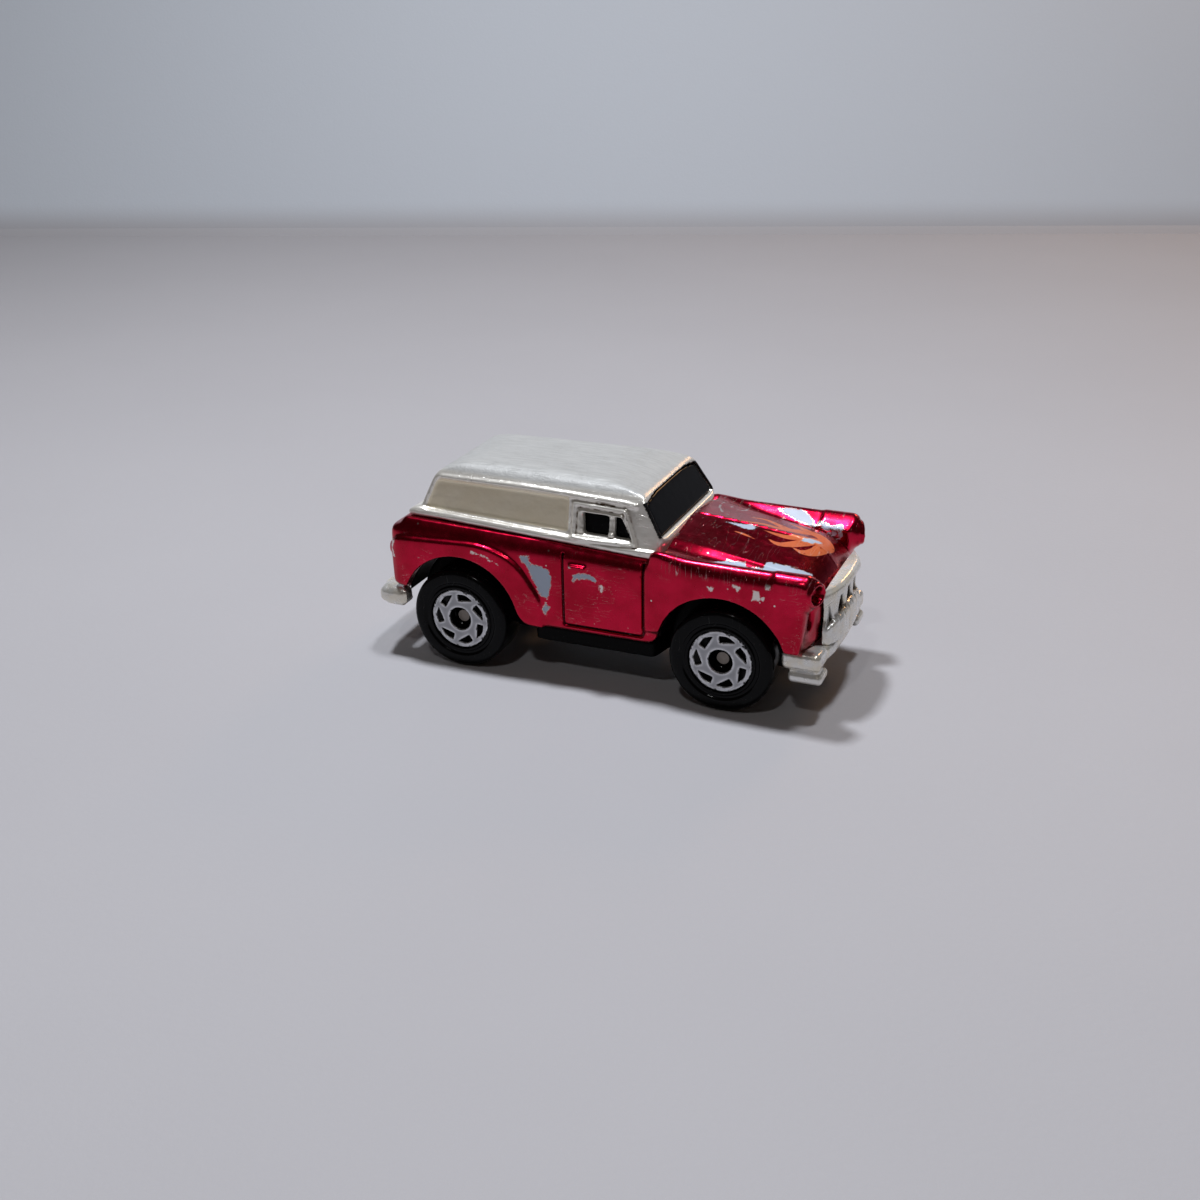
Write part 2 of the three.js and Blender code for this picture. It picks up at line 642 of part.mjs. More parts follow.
const paint = {
  red: new THREE.MeshStandardMaterial({ color: 0x8f0f22, roughness: 0.28, metalness: 0.85 }),
  silver: new THREE.MeshStandardMaterial({ color: 0xb9b6ac, roughness: 0.3, metalness: 0.85 }),
  chrome: new THREE.MeshStandardMaterial({ color: 0xd8d4c8, roughness: 0.18, metalness: 1 }),
  foil: new THREE.MeshStandardMaterial({ color: 0xc9c9cc, roughness: 0.22, metalness: 1 }),
  glazing: new THREE.MeshStandardMaterial({ color: 0x050506, roughness: 0.12, metalness: 0 }),
  black: new THREE.MeshStandardMaterial({ color: 0x0b0b0c, roughness: 0.35, metalness: 0 }),
  steel: new THREE.MeshStandardMaterial({ color: 0x9a958a, roughness: 0.4, metalness: 0.9 }),
};

function bufferGeometry(piece) {
  const result = piece.getMesh();
  const geometry = new THREE.BufferGeometry();
  geometry.setAttribute("position", new THREE.BufferAttribute(result.vertProperties, 3));
  geometry.setIndex(new THREE.BufferAttribute(result.triVerts, 1));
  geometry.computeVertexNormals();
  return geometry;
}

// Narrows the roof and its glazing towards the rear.
function tapered(geometry) {
  const position = geometry.attributes.position;
  for (let index = 0; index < position.count; index += 1) {
    const share = 1 - ROOF_TAPER * Math.max(0, COWL_X - position.getX(index));
    position.setY(index, position.getY(index) * share);
  }
  geometry.computeVertexNormals();
  return geometry;
}

function named(name, geometry, material) {
  const mesh = new THREE.Mesh(geometry, material);
  mesh.name = name;
  return mesh;
}

const car = new THREE.Group();
car.add(named("body_shell", bufferGeometry(bodyShell()), paint.red));
car.add(named("roof_shell", tapered(bufferGeometry(roofShell())), paint.silver));
car.add(named("window_insert", tapered(bufferGeometry(windowInsert())), paint.glazing));
car.add(named("grille", bufferGeometry(grille()), paint.chrome));
car.add(named("front_bumper", bufferGeometry(frontBumper()), paint.chrome));
car.add(named("rear_bumper", bufferGeometry(rearBumper()), paint.chrome));
car.add(named("chassis", bufferGeometry(chassis()), paint.black));
car.add(named("rear_rivet", bufferGeometry(rivet(RIVET_X[0])), paint.steel));
car.add(named("front_rivet", bufferGeometry(rivet(RIVET_X[1])), paint.steel));

const wheel = bufferGeometry(solid(wheelGeometry()));
const wheelFace = bufferGeometry(solid(wheelFaceGeometry()));
for (const [end, x] of [["rear", REAR_AXLE_X], ["front", FRONT_AXLE_X]]) {
  car.add(named(`${end}_axle`, bufferGeometry(axle(x)), paint.steel));
  car.add(named(`${end}_axle_keeper`, bufferGeometry(axleKeeper(x)), paint.black));
  for (const [hand, side] of [["right", -1], ["left", 1]]) {
    const place = new THREE.Group();
    place.position.set(x, side * (WHEEL_OUTER_Y - WHEEL_WIDTH / 2), AXLE_Z);
    place.rotation.z = side > 0 ? 0 : Math.PI;
    place.add(named(`${end}_${hand}_wheel`, wheel, paint.black));
    place.add(named(`${end}_${hand}_wheel_face`, wheelFace, paint.foil));
    car.add(place);
  }
}

export default car;
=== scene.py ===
"""Looks of a micro-scale toy panel wagon: vacuum-plated two-tone body, black base, free-rolling wheels.

Shapes are worked out in millimetres, in the part's own frame (+X front, +Y left, +Z up), and
turned into metres when a mesh is made. Soft moulded shells are signed distance formulas: negative
inside, positive outside, meshed on a fine grid of points and mirrored about the centre plane.
"""

import itertools
import math

import bmesh
import bpy
import numpy as np
import openvdb
from mathutils import Matrix, Vector


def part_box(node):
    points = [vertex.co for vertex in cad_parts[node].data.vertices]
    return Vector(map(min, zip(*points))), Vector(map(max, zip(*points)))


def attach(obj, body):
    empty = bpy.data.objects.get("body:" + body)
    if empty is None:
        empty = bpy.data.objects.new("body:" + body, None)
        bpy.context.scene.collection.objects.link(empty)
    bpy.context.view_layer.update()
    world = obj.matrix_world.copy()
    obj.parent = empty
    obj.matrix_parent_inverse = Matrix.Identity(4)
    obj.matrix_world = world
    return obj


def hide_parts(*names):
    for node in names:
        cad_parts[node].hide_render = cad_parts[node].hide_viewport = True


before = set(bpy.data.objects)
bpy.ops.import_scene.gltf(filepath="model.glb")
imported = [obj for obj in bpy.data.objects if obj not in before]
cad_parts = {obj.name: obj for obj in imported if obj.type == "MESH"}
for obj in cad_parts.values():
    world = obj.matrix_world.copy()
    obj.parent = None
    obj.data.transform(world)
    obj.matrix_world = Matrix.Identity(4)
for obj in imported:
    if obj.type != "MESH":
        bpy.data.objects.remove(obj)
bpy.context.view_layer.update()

MM = 0.001
SHELL_STEP = 0.09
TRIM_STEP = 0.06
FACE_STEP = 0.04
WHEEL_SIDES = 128
EDGE_REACH = 0.12  # how far from an edge its wear shows, in millimetres
FITTING_EDGE = 0.08  # bevel of the axles, rivets and keepers
FAR = 30.0  # beyond every part of the car


# ---- frame ----


def node_box(name):
    """Lowest and highest corner of a CAD node, in millimetres."""
    low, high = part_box(name)
    return np.array(low) / MM, np.array(high) / MM


def wheel_place(name):
    """Centre and half size of a CAD node, in millimetres."""
    low, high = node_box(name)
    return (low + high) / 2, (high - low) / 2


BODY_LOW, BODY_HIGH = node_box("body_shell")
ROOF_LOW, ROOF_HIGH = node_box("roof_shell")
BASE_LOW, BASE_HIGH = node_box("chassis")
BASE_HIGH[2] = BASE_LOW[2] + 6.2  # the wheel wells stand up inside the body
REAR_AXLE = wheel_place("rear_right_wheel")[0]
FRONT_AXLE = wheel_place("front_right_wheel")[0]
WHEEL_RADIUS = wheel_place("front_right_wheel")[1][2]
WHEEL_HALF = wheel_place("front_right_wheel")[1][1]
FACE_RADIUS = wheel_place("front_right_wheel_face")[1][2]
ARCH_RADIUS = WHEEL_RADIUS + 1.0
AXLE_Z = FRONT_AXLE[2]
AXLE_XS = (REAR_AXLE[0], FRONT_AXLE[0])


# ---- distance formulas ----


def rounded(corners, steps=5):
    """Points of a closed outline from its corners, each (a, b) or (a, b, cut) where it is rounded."""
    points = []
    spots = [np.array(corner[:2], float) for corner in corners]
    for index, spot in enumerate(spots):
        before, after = spots[index - 1], spots[(index + 1) % len(spots)]
        reach = 0.49 * min(np.linalg.norm(before - spot), np.linalg.norm(after - spot))
        cut = min(corners[index][2] if len(corners[index]) > 2 else 0.0, reach)
        if cut == 0:
            points.append(spot)
            continue
        start = spot + (before - spot) * cut / np.linalg.norm(before - spot)
        end = spot + (after - spot) * cut / np.linalg.norm(after - spot)
        for t in np.linspace(0, 1, steps):
            points.append((1 - t) ** 2 * start + 2 * t * (1 - t) * spot + t * t * end)
    return points


def flat(a, b, corners):
    """Distance in a plane from (a, b) to a closed outline, negative inside."""
    points = rounded(corners)
    a, b = np.broadcast_arrays(a, b)
    nearest = np.full(a.shape, FAR**2, np.float32)
    inside = np.zeros(a.shape, bool)
    for (pa, pb), (qa, qb) in zip(points, points[1:] + points[:1]):
        da, db = qa - pa, qb - pb
        if da == 0 and db == 0:
            continue
        along = np.clip(((a - pa) * da + (b - pb) * db) / (da * da + db * db), 0, 1)
        nearest = np.minimum(nearest, (a - pa - along * da) ** 2 + (b - pb - along * db) ** 2)
        if db != 0:
            inside ^= ((pb > b) != (qb > b)) & (a < da * (b - pb) / db + pa)
    distance = np.sqrt(nearest)
    return np.where(inside, -distance, distance)


def join(first, second, soft=0.0):
    """The solid that holds both, with a fillet about soft wide."""
    if soft == 0:
        return np.minimum(first, second)
    near = np.maximum(soft - np.abs(first - second), 0) / soft
    return np.minimum(first, second) - near * near * soft / 4


def common(first, second, soft=0.0):
    """The solid that both share, its new edges rounded over about soft."""
    return -join(-first, -second, soft)


def cut(first, second, soft=0.0):
    """The first solid without the second, its new edges rounded over about soft."""
    return common(first, -second, soft)


def press(distance, area, depth, soft):
    """Sinks the surface by depth where area is negative, over an edge soft wide. Negative depths raise it."""
    share = np.clip(0.5 - area / soft, 0, 1)
    return distance + depth * share * share * (3 - 2 * share)


def brick(x, y, z, low, high, soft):
    """A block from corner low to corner high with edges of radius soft."""
    centre = [(a + b) / 2 for a, b in zip(low, high)]
    half = [(b - a) / 2 - soft for a, b in zip(low, high)]
    out = [np.abs(p - c) - h for p, c, h in zip((x, y, z), centre, half)]
    outside = np.sqrt(sum(np.maximum(o, 0) ** 2 for o in out))
    inside = np.minimum(np.maximum(np.maximum(out[0], out[1]), out[2]), 0)
    return outside + inside - soft


def rod(a, b, c, centre, radius, low, high):
    """A round bar: (a, b) is the plane across it and c runs along it from low to high."""
    across = np.sqrt((a - centre[0]) ** 2 + (b - centre[1]) ** 2) - radius
    return common(across, np.abs(c - (low + high) / 2) - (high - low) / 2)


def curve(value, places, levels):
    """A value that changes smoothly through levels at places."""
    fine = np.linspace(places[0], places[-1], 200)
    kernel = np.hanning(25)
    padded = np.pad(np.interp(fine, places, levels), 12, mode="edge")
    return np.interp(value, fine, np.convolve(padded, kernel / kernel.sum(), mode="valid"))


def from_axle(x, z, axle_x, lift=0.0):
    """Distance in side view from an axle's centre line."""
    return np.sqrt((x - axle_x) ** 2 + (z - AXLE_Z - lift) ** 2)


# ---- lower body ----

SILL_Z = BODY_LOW[2] + 0.3
NOSE_X = node_box("grille")[0][0]
TAIL_X = node_box("rear_bumper")[0][0]
COWL_X = 5.75  # the foot of the windscreen, where the hood starts
DOOR_REAR, DOOR_FRONT, DOOR_LOW, DOOR_HIGH = -1.85, 4.3, 4.6, 10.0
LAMP_Y, LAMP_Z, LAMP_RADIUS = 6.25, 9.65, 0.9
LAMP_END = BODY_HIGH[0]
FENDER_FRONT = 16.15
MARKER_Y, MARKER_Z, MARKER_SQUASH = 5.5, 7.45, 0.55
TAIL_LAMP_Y, TAIL_LAMP_Z, TAIL_LAMP_RADIUS = 5.55, 8.4, 0.45


def ledge_z(x):
    """Height of the seam between lower body and roof: it climbs a little towards the rear."""
    return curve(x, [-15, -13.5, -7.5, -1.3, 3.8, 6], [11.05, 11.0, 10.8, 10.6, 10.42, 10.4])


def tub(x, y, z):
    """The body between its fenders: sides, rear end, belt and domed hood."""
    side = flat(x, z, [
        (-14.7, 5.65), (-15.9, 5.65, 0.4), (-16.3, 7.4, 0.8), (-16.2, 10.2, 0.9), (-14.9, 10.5, 0.8),
        (-14.0, FAR), (FAR, FAR), (FAR, 5.2), (14.4, 5.2), (14.4, SILL_Z), (-14.7, SILL_Z),
    ])
    plan = flat(x, y, [
        (-16.5, -FAR), (-16.35, 5.8, 1.2), (-14.6, 6.4, 0.6), (7.0, 6.4, 1.0), (15.4, 6.2, 0.6),
        (16.5, 4.2, 1.2), (16.75, 0), (16.75, -FAR),
    ])
    section = flat(y, z, [
        (-FAR, 3.0), (6.2, 3.0), (6.6, 5.2, 0.8), (6.62, 9.2, 1.0), (6.1, 10.4, 0.5), (5.3, 13), (-FAR, 13),
    ])
    deck = z - ledge_z(x) + 0.04 + 0.5 * np.clip(y - 5.75, 0, 1) * 1.6
    ridge_x = [5, 7, 9, 11, 13, 14.4, 15.4, 16.2, 16.9]
    ridge = curve(x, ridge_x, [12.1, 11.95, 11.78, 11.55, 11.28, 11.0, 10.5, 9.7, 8.3])
    slope = curve(x, [5, 6.5, 9, 12, 15, 17], [0.12, 0.13, 0.18, 0.22, 0.23, 0.2])
    shoulder = curve(x, [5, 6.5, 9, 12, 17], [0.1, 0.15, 0.4, 0.8, 0.9])
    fall = slope * np.maximum(y, 0.6 * y + 0.16) + shoulder * np.clip(y - 4.2, 0, 2.4)
    hood = (z - ridge + fall) * 0.93
    top = np.where(x < COWL_X, deck, hood)
    return common(common(side, plan, 0.6), common(section, top, 0.35), 0.35)


def rear_fender(x, y, z):
    panel = flat(x, z, [
        (-14.5, 5.7), (-15.9, 5.7, 0.5), (-16.2, 9.6, 1.6), (-8.0, 9.95, 1.6), (-5.4, 9.0, 1.2),
        (-3.5, 6.2, 1.0), (-3.4, SILL_Z), (-14.5, SILL_Z),
    ])
    plan = flat(x, y, [(-16.25, 4.0), (-16.2, 6.1, 0.9), (-14.4, 6.75, 1.4), (-3.0, 6.7), (-3.0, 4.0)])
    bulge = y - 6.74 + 0.03 * np.abs(z - 7.2) ** 1.6
    return common(common(panel, bulge, 0.3), plan, 0.3)


def front_fender(x, y, z):
    crest = curve(x, [4, 5.3, 7.5, 11, 16.2], [0.2, 0.3, 0.05, 0.0, -0.08])
    section = flat(y, z - crest * np.clip((z - 9.6) / 1.2, 0, 1), [
        (4.8, 5.2), (6.95, 5.2), (7.16, 8.3, 0.6), (7.2, 9.9, 0.6),
        (6.85, 10.75, 0.4), (6.3, 11.05, 0.4), (5.4, 10.55, 0.6), (4.8, 10.2),
    ])
    plan = flat(x, y, [
        (3.0, 4.0), (3.0, 6.2), (5.0, 6.6, 1.6), (8.6, 7.2, 2.4), (FENDER_FRONT, 7.2, 1.2), (FENDER_FRONT, 4.0),
    ])
    side = flat(x, z, [
        (5.4, 5.2), (15.7, 5.2), (FENDER_FRONT, 8.0), (FENDER_FRONT, 11.4, 0.5),
        (4.9, 11.5, 1.6), (4.5, 9.8, 1.2), (4.5, 5.2),
    ])
    return common(common(section, plan, 0.3), side, 0.4)


def headlight(d, x, y, z):
    """Adds a raised lamp ring with a sunk face to the front of a fender."""
    pod = rod(y, z, x, (LAMP_Y, LAMP_Z), LAMP_RADIUS + 0.1, FENDER_FRONT - 2, LAMP_END - 0.45)
    across = np.sqrt((y - LAMP_Y) ** 2 + (z - LAMP_Z) ** 2)
    ahead = x - LAMP_END + 0.4 * (y - LAMP_Y + LAMP_RADIUS)
    ring = common(across - LAMP_RADIUS, np.abs(ahead + 1) - 1, 0.3)
    d = join(join(d, common(pod, ahead + 0.4), 0.8), ring, 0.1)
    return cut(d, common(across - LAMP_RADIUS + 0.28, -0.75 - ahead), 0.1)


def body(x, y, z):
    d = join(tub(x, y, z), rear_fender(x, y, z), 0.12)
    d = join(d, front_fender(x, y, z), 0.55)
    d = headlight(d, x, y, z)
    marker = rod(y, z * MARKER_SQUASH, x, (MARKER_Y, MARKER_Z * MARKER_SQUASH), 0.4, FENDER_FRONT - 0.4, FAR)
    d = cut(d, marker, 0.15)
    hood_rib = np.abs(y) + 0.02 * np.maximum(x - 13, 0)
    d = press(d, np.where((x > 6.2) & (z > 9), hood_rib, FAR), -0.2, 0.36)
    shut = np.abs(flat(x, z, [
        (DOOR_REAR, DOOR_LOW, 0.3), (DOOR_FRONT, DOOR_LOW, 0.3), (DOOR_FRONT, 12), (DOOR_REAR, 12),
    ]))
    shut = np.maximum(shut, z - DOOR_HIGH)
    d = press(d, np.where(y > 5.8, shut - 0.09, FAR), 0.2, 0.12)
    handle = brick(x, y, z, (-1.3, 6.3, 9.12), (0.0, 6.72, 9.36), 0.1)
    d = join(d, handle, 0.1)
    cavity = brick(x, y, z, (-15.3, -FAR, 0), (COWL_X + 0.5, 5.6, 9.5), 0.2)
    bay = brick(x, y, z, (4.0, -FAR, 0), (15.1, 4.6, 9.3), 0.2)
    d = cut(cut(d, cavity), bay)
    below = np.where((x > -14.6) & (x < 14.4), z - SILL_Z, FAR)
    for axle_x in AXLE_XS:
        below = join(below, from_axle(x, z, axle_x, 0.1) - ARCH_RADIUS + 0.05, 1.3)
    d = cut(common(d, y - BODY_HIGH[1] + 0.05, 0.1), below + 0 * y, 0.12)
    tail_lamp = np.sqrt((y - TAIL_LAMP_Y) ** 2 + (z - TAIL_LAMP_Z) ** 2) - TAIL_LAMP_RADIUS
    d = press(d, np.where(x < -15.9, tail_lamp, FAR), -0.15, 0.2)
    gate = np.abs(flat(y, z, [(-FAR, 6.2), (4.6, 6.2, 0.4), (4.6, 9.9, 0.4), (-FAR, 9.9)]))
    return press(d, np.where(x < -15.6, gate - 0.07, FAR), 0.15, 0.1)


# ---- roof ----

ROOF_TOP = ROOF_HIGH[2]
PANE = [(-0.5, 11.45, 0.2), (1.4, 11.45, 0.1), (1.4, 12.95, 0.2), (-0.62, 12.95, 0.2)]
VENT = [(1.85, 11.45, 0.1), (3.15, 11.45, 0.1), (2.35, 12.95, 0.1), (1.85, 12.95, 0.1)]
FRAME = [(-1.4, 11.1), (3.65, 11.1), (2.7, 13.55, 0.15), (-1.4, 13.65, 0.15)]
SCREEN_FOOT, SCREEN_FOOT_Z = 5.55, 11.75  # where the windscreen starts
SCREEN_LEAN = 0.62  # how far the windscreen leans back per millimetre of height
SIDE_Y = 3.5  # side features lie outside this distance from the centre plane
SCREEN = [(-FAR, 11.8), (5.42, 11.8, 0.4), (4.93, 14.05, 0.2), (3.0, 14.3, 0.5), (-FAR, 14.35)]
SURROUND = [(-FAR, 11.85), (5.95, 11.85), (5.4, 14.15), (3.0, 14.42), (-FAR, 14.48)]
REAR_SCREEN = [(-FAR, 12.1), (3.6, 12.1, 0.4), (3.2, 13.7, 0.4), (-FAR, 13.7)]
PANEL = [(-13.4, 11.65, 0.3), (-1.75, 11.4, 0.2), (-1.75, 13.8, 0.2), (-12.45, 13.85, 0.4)]
# The window frame steps in and out: how far each outline is drawn in, and how deep it is pressed.
FRAME_STEPS = ((0.0, -0.2), (0.26, 0.2), (0.44, -0.14), (0.66, 0.16))


def screen_x(z):
    """Where the windscreen's plane stands at a height."""
    return SCREEN_FOOT - SCREEN_LEAN * (z - SCREEN_FOOT_Z)


def cabin(x, y, z, inset):
    """The closed roof and cabin, drawn in by inset on every side."""
    y = y / (1 - 0.0068 * np.maximum(COWL_X - x, 0))
    side = flat(x, z, [
        (-14.4, 8.0), (-14.3, 11.0, 0.3), (-13.9, 11.5), (-12.55, 14.5, 0.9), (-10.4, 15.2, 1.2),
        (-4.5, ROOF_TOP + 0.06, 2.8), (1.0, 15.2, 2.2), (3.85, 14.55, 0.4),
        (SCREEN_FOOT, SCREEN_FOOT_Z, 0.2), (COWL_X - 0.05, 11.5), (COWL_X - 0.05, 8.0),
    ])
    section = flat(y, z, [
        (-FAR, 8.0), (5.85, 8.0), (5.78, 11.0), (5.22, 14.1, 0.15), (4.7, 14.8, 0.4), (3.6, 15.25, 1.0),
        (0, ROOF_TOP + 0.08, 2.0), (-FAR, ROOF_TOP + 0.08),
    ])
    plan = flat(x, y, [(-14.7, -FAR), (-14.7, 6.0, 1.0), (5.15, 6.0, 0.4), (COWL_X, 4.8, 1.6), (COWL_X, -FAR)])
    return common(common(side, section, 0.2), plan, 0.2) + inset


def roof(x, y, z):
    """The roof shell with its ledge, gutters, side panels, window frames and openings."""
    outer = cabin(x, y, z, 0.0)
    rail_z = ledge_z(x) + 0.3
    thick = curve(x, [-15, -13.8, -12.5, 6], [0.42, 0.4, 0.3, 0.28])
    rail = np.sqrt((outer - 0.1) ** 2 + (z - rail_z) ** 2) - thick
    rail = common(rail, x - COWL_X + 0.7, 0.3)
    d = join(outer, rail, 0.15)
    gutter_z = curve(x, [-12.4, -5, 2.8, 4], [14.06, 14.14, 13.95, 13.8])
    gutter = common(np.sqrt(outer**2 + (z - gutter_z) ** 2) - 0.17, np.abs(x + 4.4) - 7.9, 0.2)
    d = join(d, gutter, 0.12)
    field = flat(x, z, PANEL)
    d = press(d, np.where(y > SIDE_Y, field, FAR), 0.16, 0.3)
    for shrink, depth in FRAME_STEPS:
        nested = flat(x, z, FRAME) + shrink
        d = press(d, np.where(y > SIDE_Y, nested, FAR), depth, 0.14)
    opening = common(flat(y, z, SCREEN), screen_x(z) - 0.75 - x)
    rear_screen = common(flat(y, z, REAR_SCREEN), x + 11.5)
    panes = common(join(flat(x, z, PANE), flat(x, z, VENT)), 3.0 - y)
    hollow = cabin(x, y, z, 0.55)
    for gap in (opening, rear_screen, panes, hollow):
        d = cut(d, gap + 0 * x * y * z, 0.05)
    return common(d, ledge_z(x) - z, 0.08)


def glazing(x, y, z):
    """A hollow block inside the roof that fills the windscreen and the rear window."""
    block = common(cabin(x, y, z, 0.6), ledge_z(x) + 0.6 - z)
    block = press(block, np.where(x > 2.6, flat(y, z, SCREEN) + 0.1, FAR), -0.45, 0.08)
    block = press(block, np.where(x < -11.5, flat(y, z, REAR_SCREEN) + 0.08, FAR), -0.4, 0.08)
    return cut(common(block, z - 14.6), cabin(x, y, z, 1.2))


# ---- front and rear trim ----


TOOTH_PITCH = 1.82
NOSE_CURVE = 0.05  # how much the mouth drops with the square of y


def repeated(y, pitch):
    """Distance across to the nearest line of a row of lines, pitch apart, with one at the centre."""
    return np.abs((y + pitch / 2) % pitch - pitch / 2)


def tooth_gap(y, z):
    """Negative in the dark gaps between the grille's teeth, which hang in a row under its lip."""
    tooth = repeated(y, TOOTH_PITCH)
    gap = flat(tooth, z + NOSE_CURVE * y**2, [(-FAR, 7.1), (0.62, 7.1, 0.1), (0.25, 8.4, 0.1), (-FAR, 8.4)])
    return common(gap, np.abs(y) - 4.0)


def grille_front(y):
    """How far forward the grille reaches at y."""
    return curve(np.abs(y), [0, 2.2, 3.4, 4.3, 5], [17.6, 17.5, 17.15, 16.7, 16.2])


def grille(x, y, z):
    front = grille_front(y)
    drop = NOSE_CURVE * y**2
    outline = flat(y, z, [(-FAR, 4.5), (3.6, 4.5, 0.5), (4.3, 5.2, 0.4), (4.3, 9.1, 0.4), (-FAR, 9.55)])
    block = common(outline, np.maximum(x - front + 0.25, NOSE_X - 0.3 - x), 0.1)
    lip = common(np.abs(z - 8.95 + 0.6 * drop) - 0.55, np.abs(x - front + 0.7) - 0.75, 0.45)
    bulge = common(np.abs(z - 5.85 + 0.5 * drop) - 1.35, np.abs(x - front + 0.7) - 0.82, 0.9)
    d = join(block, common(join(lip, bulge, 0.1), outline, 0.4), 0.2)
    d = press(d, np.where(x > NOSE_X, tooth_gap(y, z), FAR), 0.5, 0.15)
    groove = repeated(y, TOOTH_PITCH / 2) - 0.04
    return press(d, np.where(z < 7.0 - drop, groove, FAR), 0.05, 0.14)


def front_bumper(x, y, z):
    belly = curve(y, [0, 3.0, 4.6, 5.6, 6.3], [17.4, 17.3, 17.05, 16.6, 15.6])
    bar = flat(x - belly, z, [(-1.3, 3.95, 0.3), (0, 3.95, 0.5), (0, 5.1, 0.5), (-1.3, 5.1, 0.3)])
    bar = common(bar, y - 6.15, 0.4)
    upper = brick(x, y, z, (14.3, 4.4, 3.9), (17.05, 6.3, 5.2), 0.38)
    web = brick(x, y, z, (14.8, 4.7, 3.3), (16.9, 6.0, 4.3), 0.2)
    lower = brick(x, y, z, (14.75, 4.3, 2.87), (17.15, 6.15, 3.66), 0.32)
    d = join(join(bar, upper, 0.2), join(web, lower, 0.12), 0.12)
    return common(d, 14.3 - x)


def rear_bumper(x, y, z):
    belly = curve(y, [0, 4.5, 5.8, 6.5], [TAIL_X + 0.02, -17.6, -17.1, -15.6])
    bar = flat(x - belly, z, [(0, 4.1, 0.7), (1.5, 4.1, 0.3), (1.5, 5.3, 0.3), (0, 5.1, 0.8)])
    arm = brick(x, y, z, (-17.15, 4.9, 4.0), (-14.85, 6.45, 5.3), 0.55)
    d = join(common(bar, y - 6.3, 0.4), arm, 0.4)
    lip = brick(x, y, z, (-16.6, 4.8, 3.92), (-15.0, 6.3, 4.5), 0.25)
    return join(d, lip, 0.15)


PLATE_Z = 3.1  # the middle of the base's floor
WAIST_Y = 3.1  # half the base's width between the wheels
CHANNEL_RADIUS = 0.52
POCKETS = (  # shallow pressings in the underside
    [(-3.4, -FAR), (-3.4, 4.3, 0.3), (3.6, 4.3, 0.3), (3.6, -FAR)],
    [(6.6, -FAR), (6.6, 2.2, 0.3), (8.0, 2.2, 0.3), (8.0, -FAR)],
)


def chassis(x, y, z):
    """The base: a floor, axle blocks with open channels, wheel-well walls, arch liners and a shaft."""
    plan = flat(x, y, [
        (-14.6, -FAR), (-14.6, WAIST_Y, 0.5), (-5.1, WAIST_Y, 0.3), (-4.6, 5.2, 0.4),
        (4.7, 5.2, 0.4), (5.2, WAIST_Y, 0.3), (14.3, WAIST_Y, 0.5), (14.3, -FAR),
    ])
    d = common(plan, np.abs(z - PLATE_Z) - 0.6, 0.15)
    for centre in AXLE_XS:
        d = join(d, brick(x, y, z, (centre - 1.6, -FAR, 2.5), (centre + 1.6, WAIST_Y, 4.3), 0.12))
    for pocket in POCKETS:
        d = press(d, np.where(z < PLATE_Z, flat(x, y, pocket), FAR), 0.25, 0.12)
    for centre in AXLE_XS:
        reach = from_axle(x, z, centre) - ARCH_RADIUS
        well = common(reach + 0.2, np.abs(y - 3.4) - 0.15, 0.1)
        d = join(d, common(well, 2.6 - z))
        liner = np.abs(reach - 0.2) - 0.15
        d = join(d, common(common(liner, y - 5.9), 4.4 - z))
    shaft = rod(y, z, x, (0, 2.75), 0.5, -8.4, 3.0)
    d = join(d, common(shaft, 2.52 - z), 0.15)
    for centre in AXLE_XS:
        rear, ahead = centre - CHANNEL_RADIUS, centre + CHANNEL_RADIUS
        slot = flat(x, z, [(rear, AXLE_Z), (ahead, AXLE_Z), (ahead, 6), (rear, 6)])
        d = cut(d, join(from_axle(x, z, centre) - CHANNEL_RADIUS, slot) + 0 * y)
    for rivet in ("rear_rivet", "front_rivet"):
        low, high = node_box(rivet)
        centre = (low[0] + high[0]) / 2
        radius = np.sqrt((x - centre) ** 2 + y**2)
        d = cut(cut(d, radius - 0.42 + 0 * z), common(radius - 0.95, z - 3.0))
    return d


# ---- meshes ----


def blurred(values, passes):
    """values evened out over its neighbours, along each axis in turn."""
    for _ in range(passes):
        for axis in range(3):
            values = np.moveaxis(values, axis, 0)
            inner = (values[:-2] + 2 * values[1:-1] + values[2:]) / 4
            values = np.concatenate([values[:1], inner, values[-1:]])
            values = np.moveaxis(values, 0, axis)
    return values


def sampled(values, spots):
    """values between grid points, by straight-line weights along each axis."""
    base = np.clip(np.floor(spots).astype(int), 0, np.array(values.shape) - 2)
    share = spots - base
    total = np.zeros(len(spots))
    for corner in np.ndindex(2, 2, 2):
        index = base + corner
        weight = np.prod(np.where(corner, share, 1 - share), axis=1)
        total += weight * values[index[:, 0], index[:, 1], index[:, 2]]
    return total


def convexity(values, spots, step):
    """How far the surface stands out from its surroundings, about 1 on a square edge."""
    passes = max(1, round(2 * (EDGE_REACH / step) ** 2))
    return sampled(blurred(values, passes), spots) / EDGE_REACH * 1.7


def evened(points, faces, passes, share=0.5):
    """Points moved part of the way to the middle of their neighbours."""
    ends = np.concatenate([faces, np.roll(faces, 1, axis=1)])
    other = np.concatenate([np.roll(faces, 1, axis=1), faces])
    ends, other = ends.ravel(), other.ravel()
    count = np.maximum(np.bincount(ends, minlength=len(points)), 1)
    for _ in range(passes):
        middle = np.stack([np.bincount(ends, points[other, k], len(points)) for k in range(3)], axis=1)
        points = points + share * (middle / count[:, None] - points)
    return points


def surfaced(values, passes):
    """The surface where a block of distances is zero: points in grid steps, and four-sided faces."""
    grid = openvdb.FloatGrid(1.0)
    grid.copyFromArray(values)
    spots, faces = grid.convertToQuads()
    return evened(spots.astype(float), faces, passes), faces[:, ::-1]


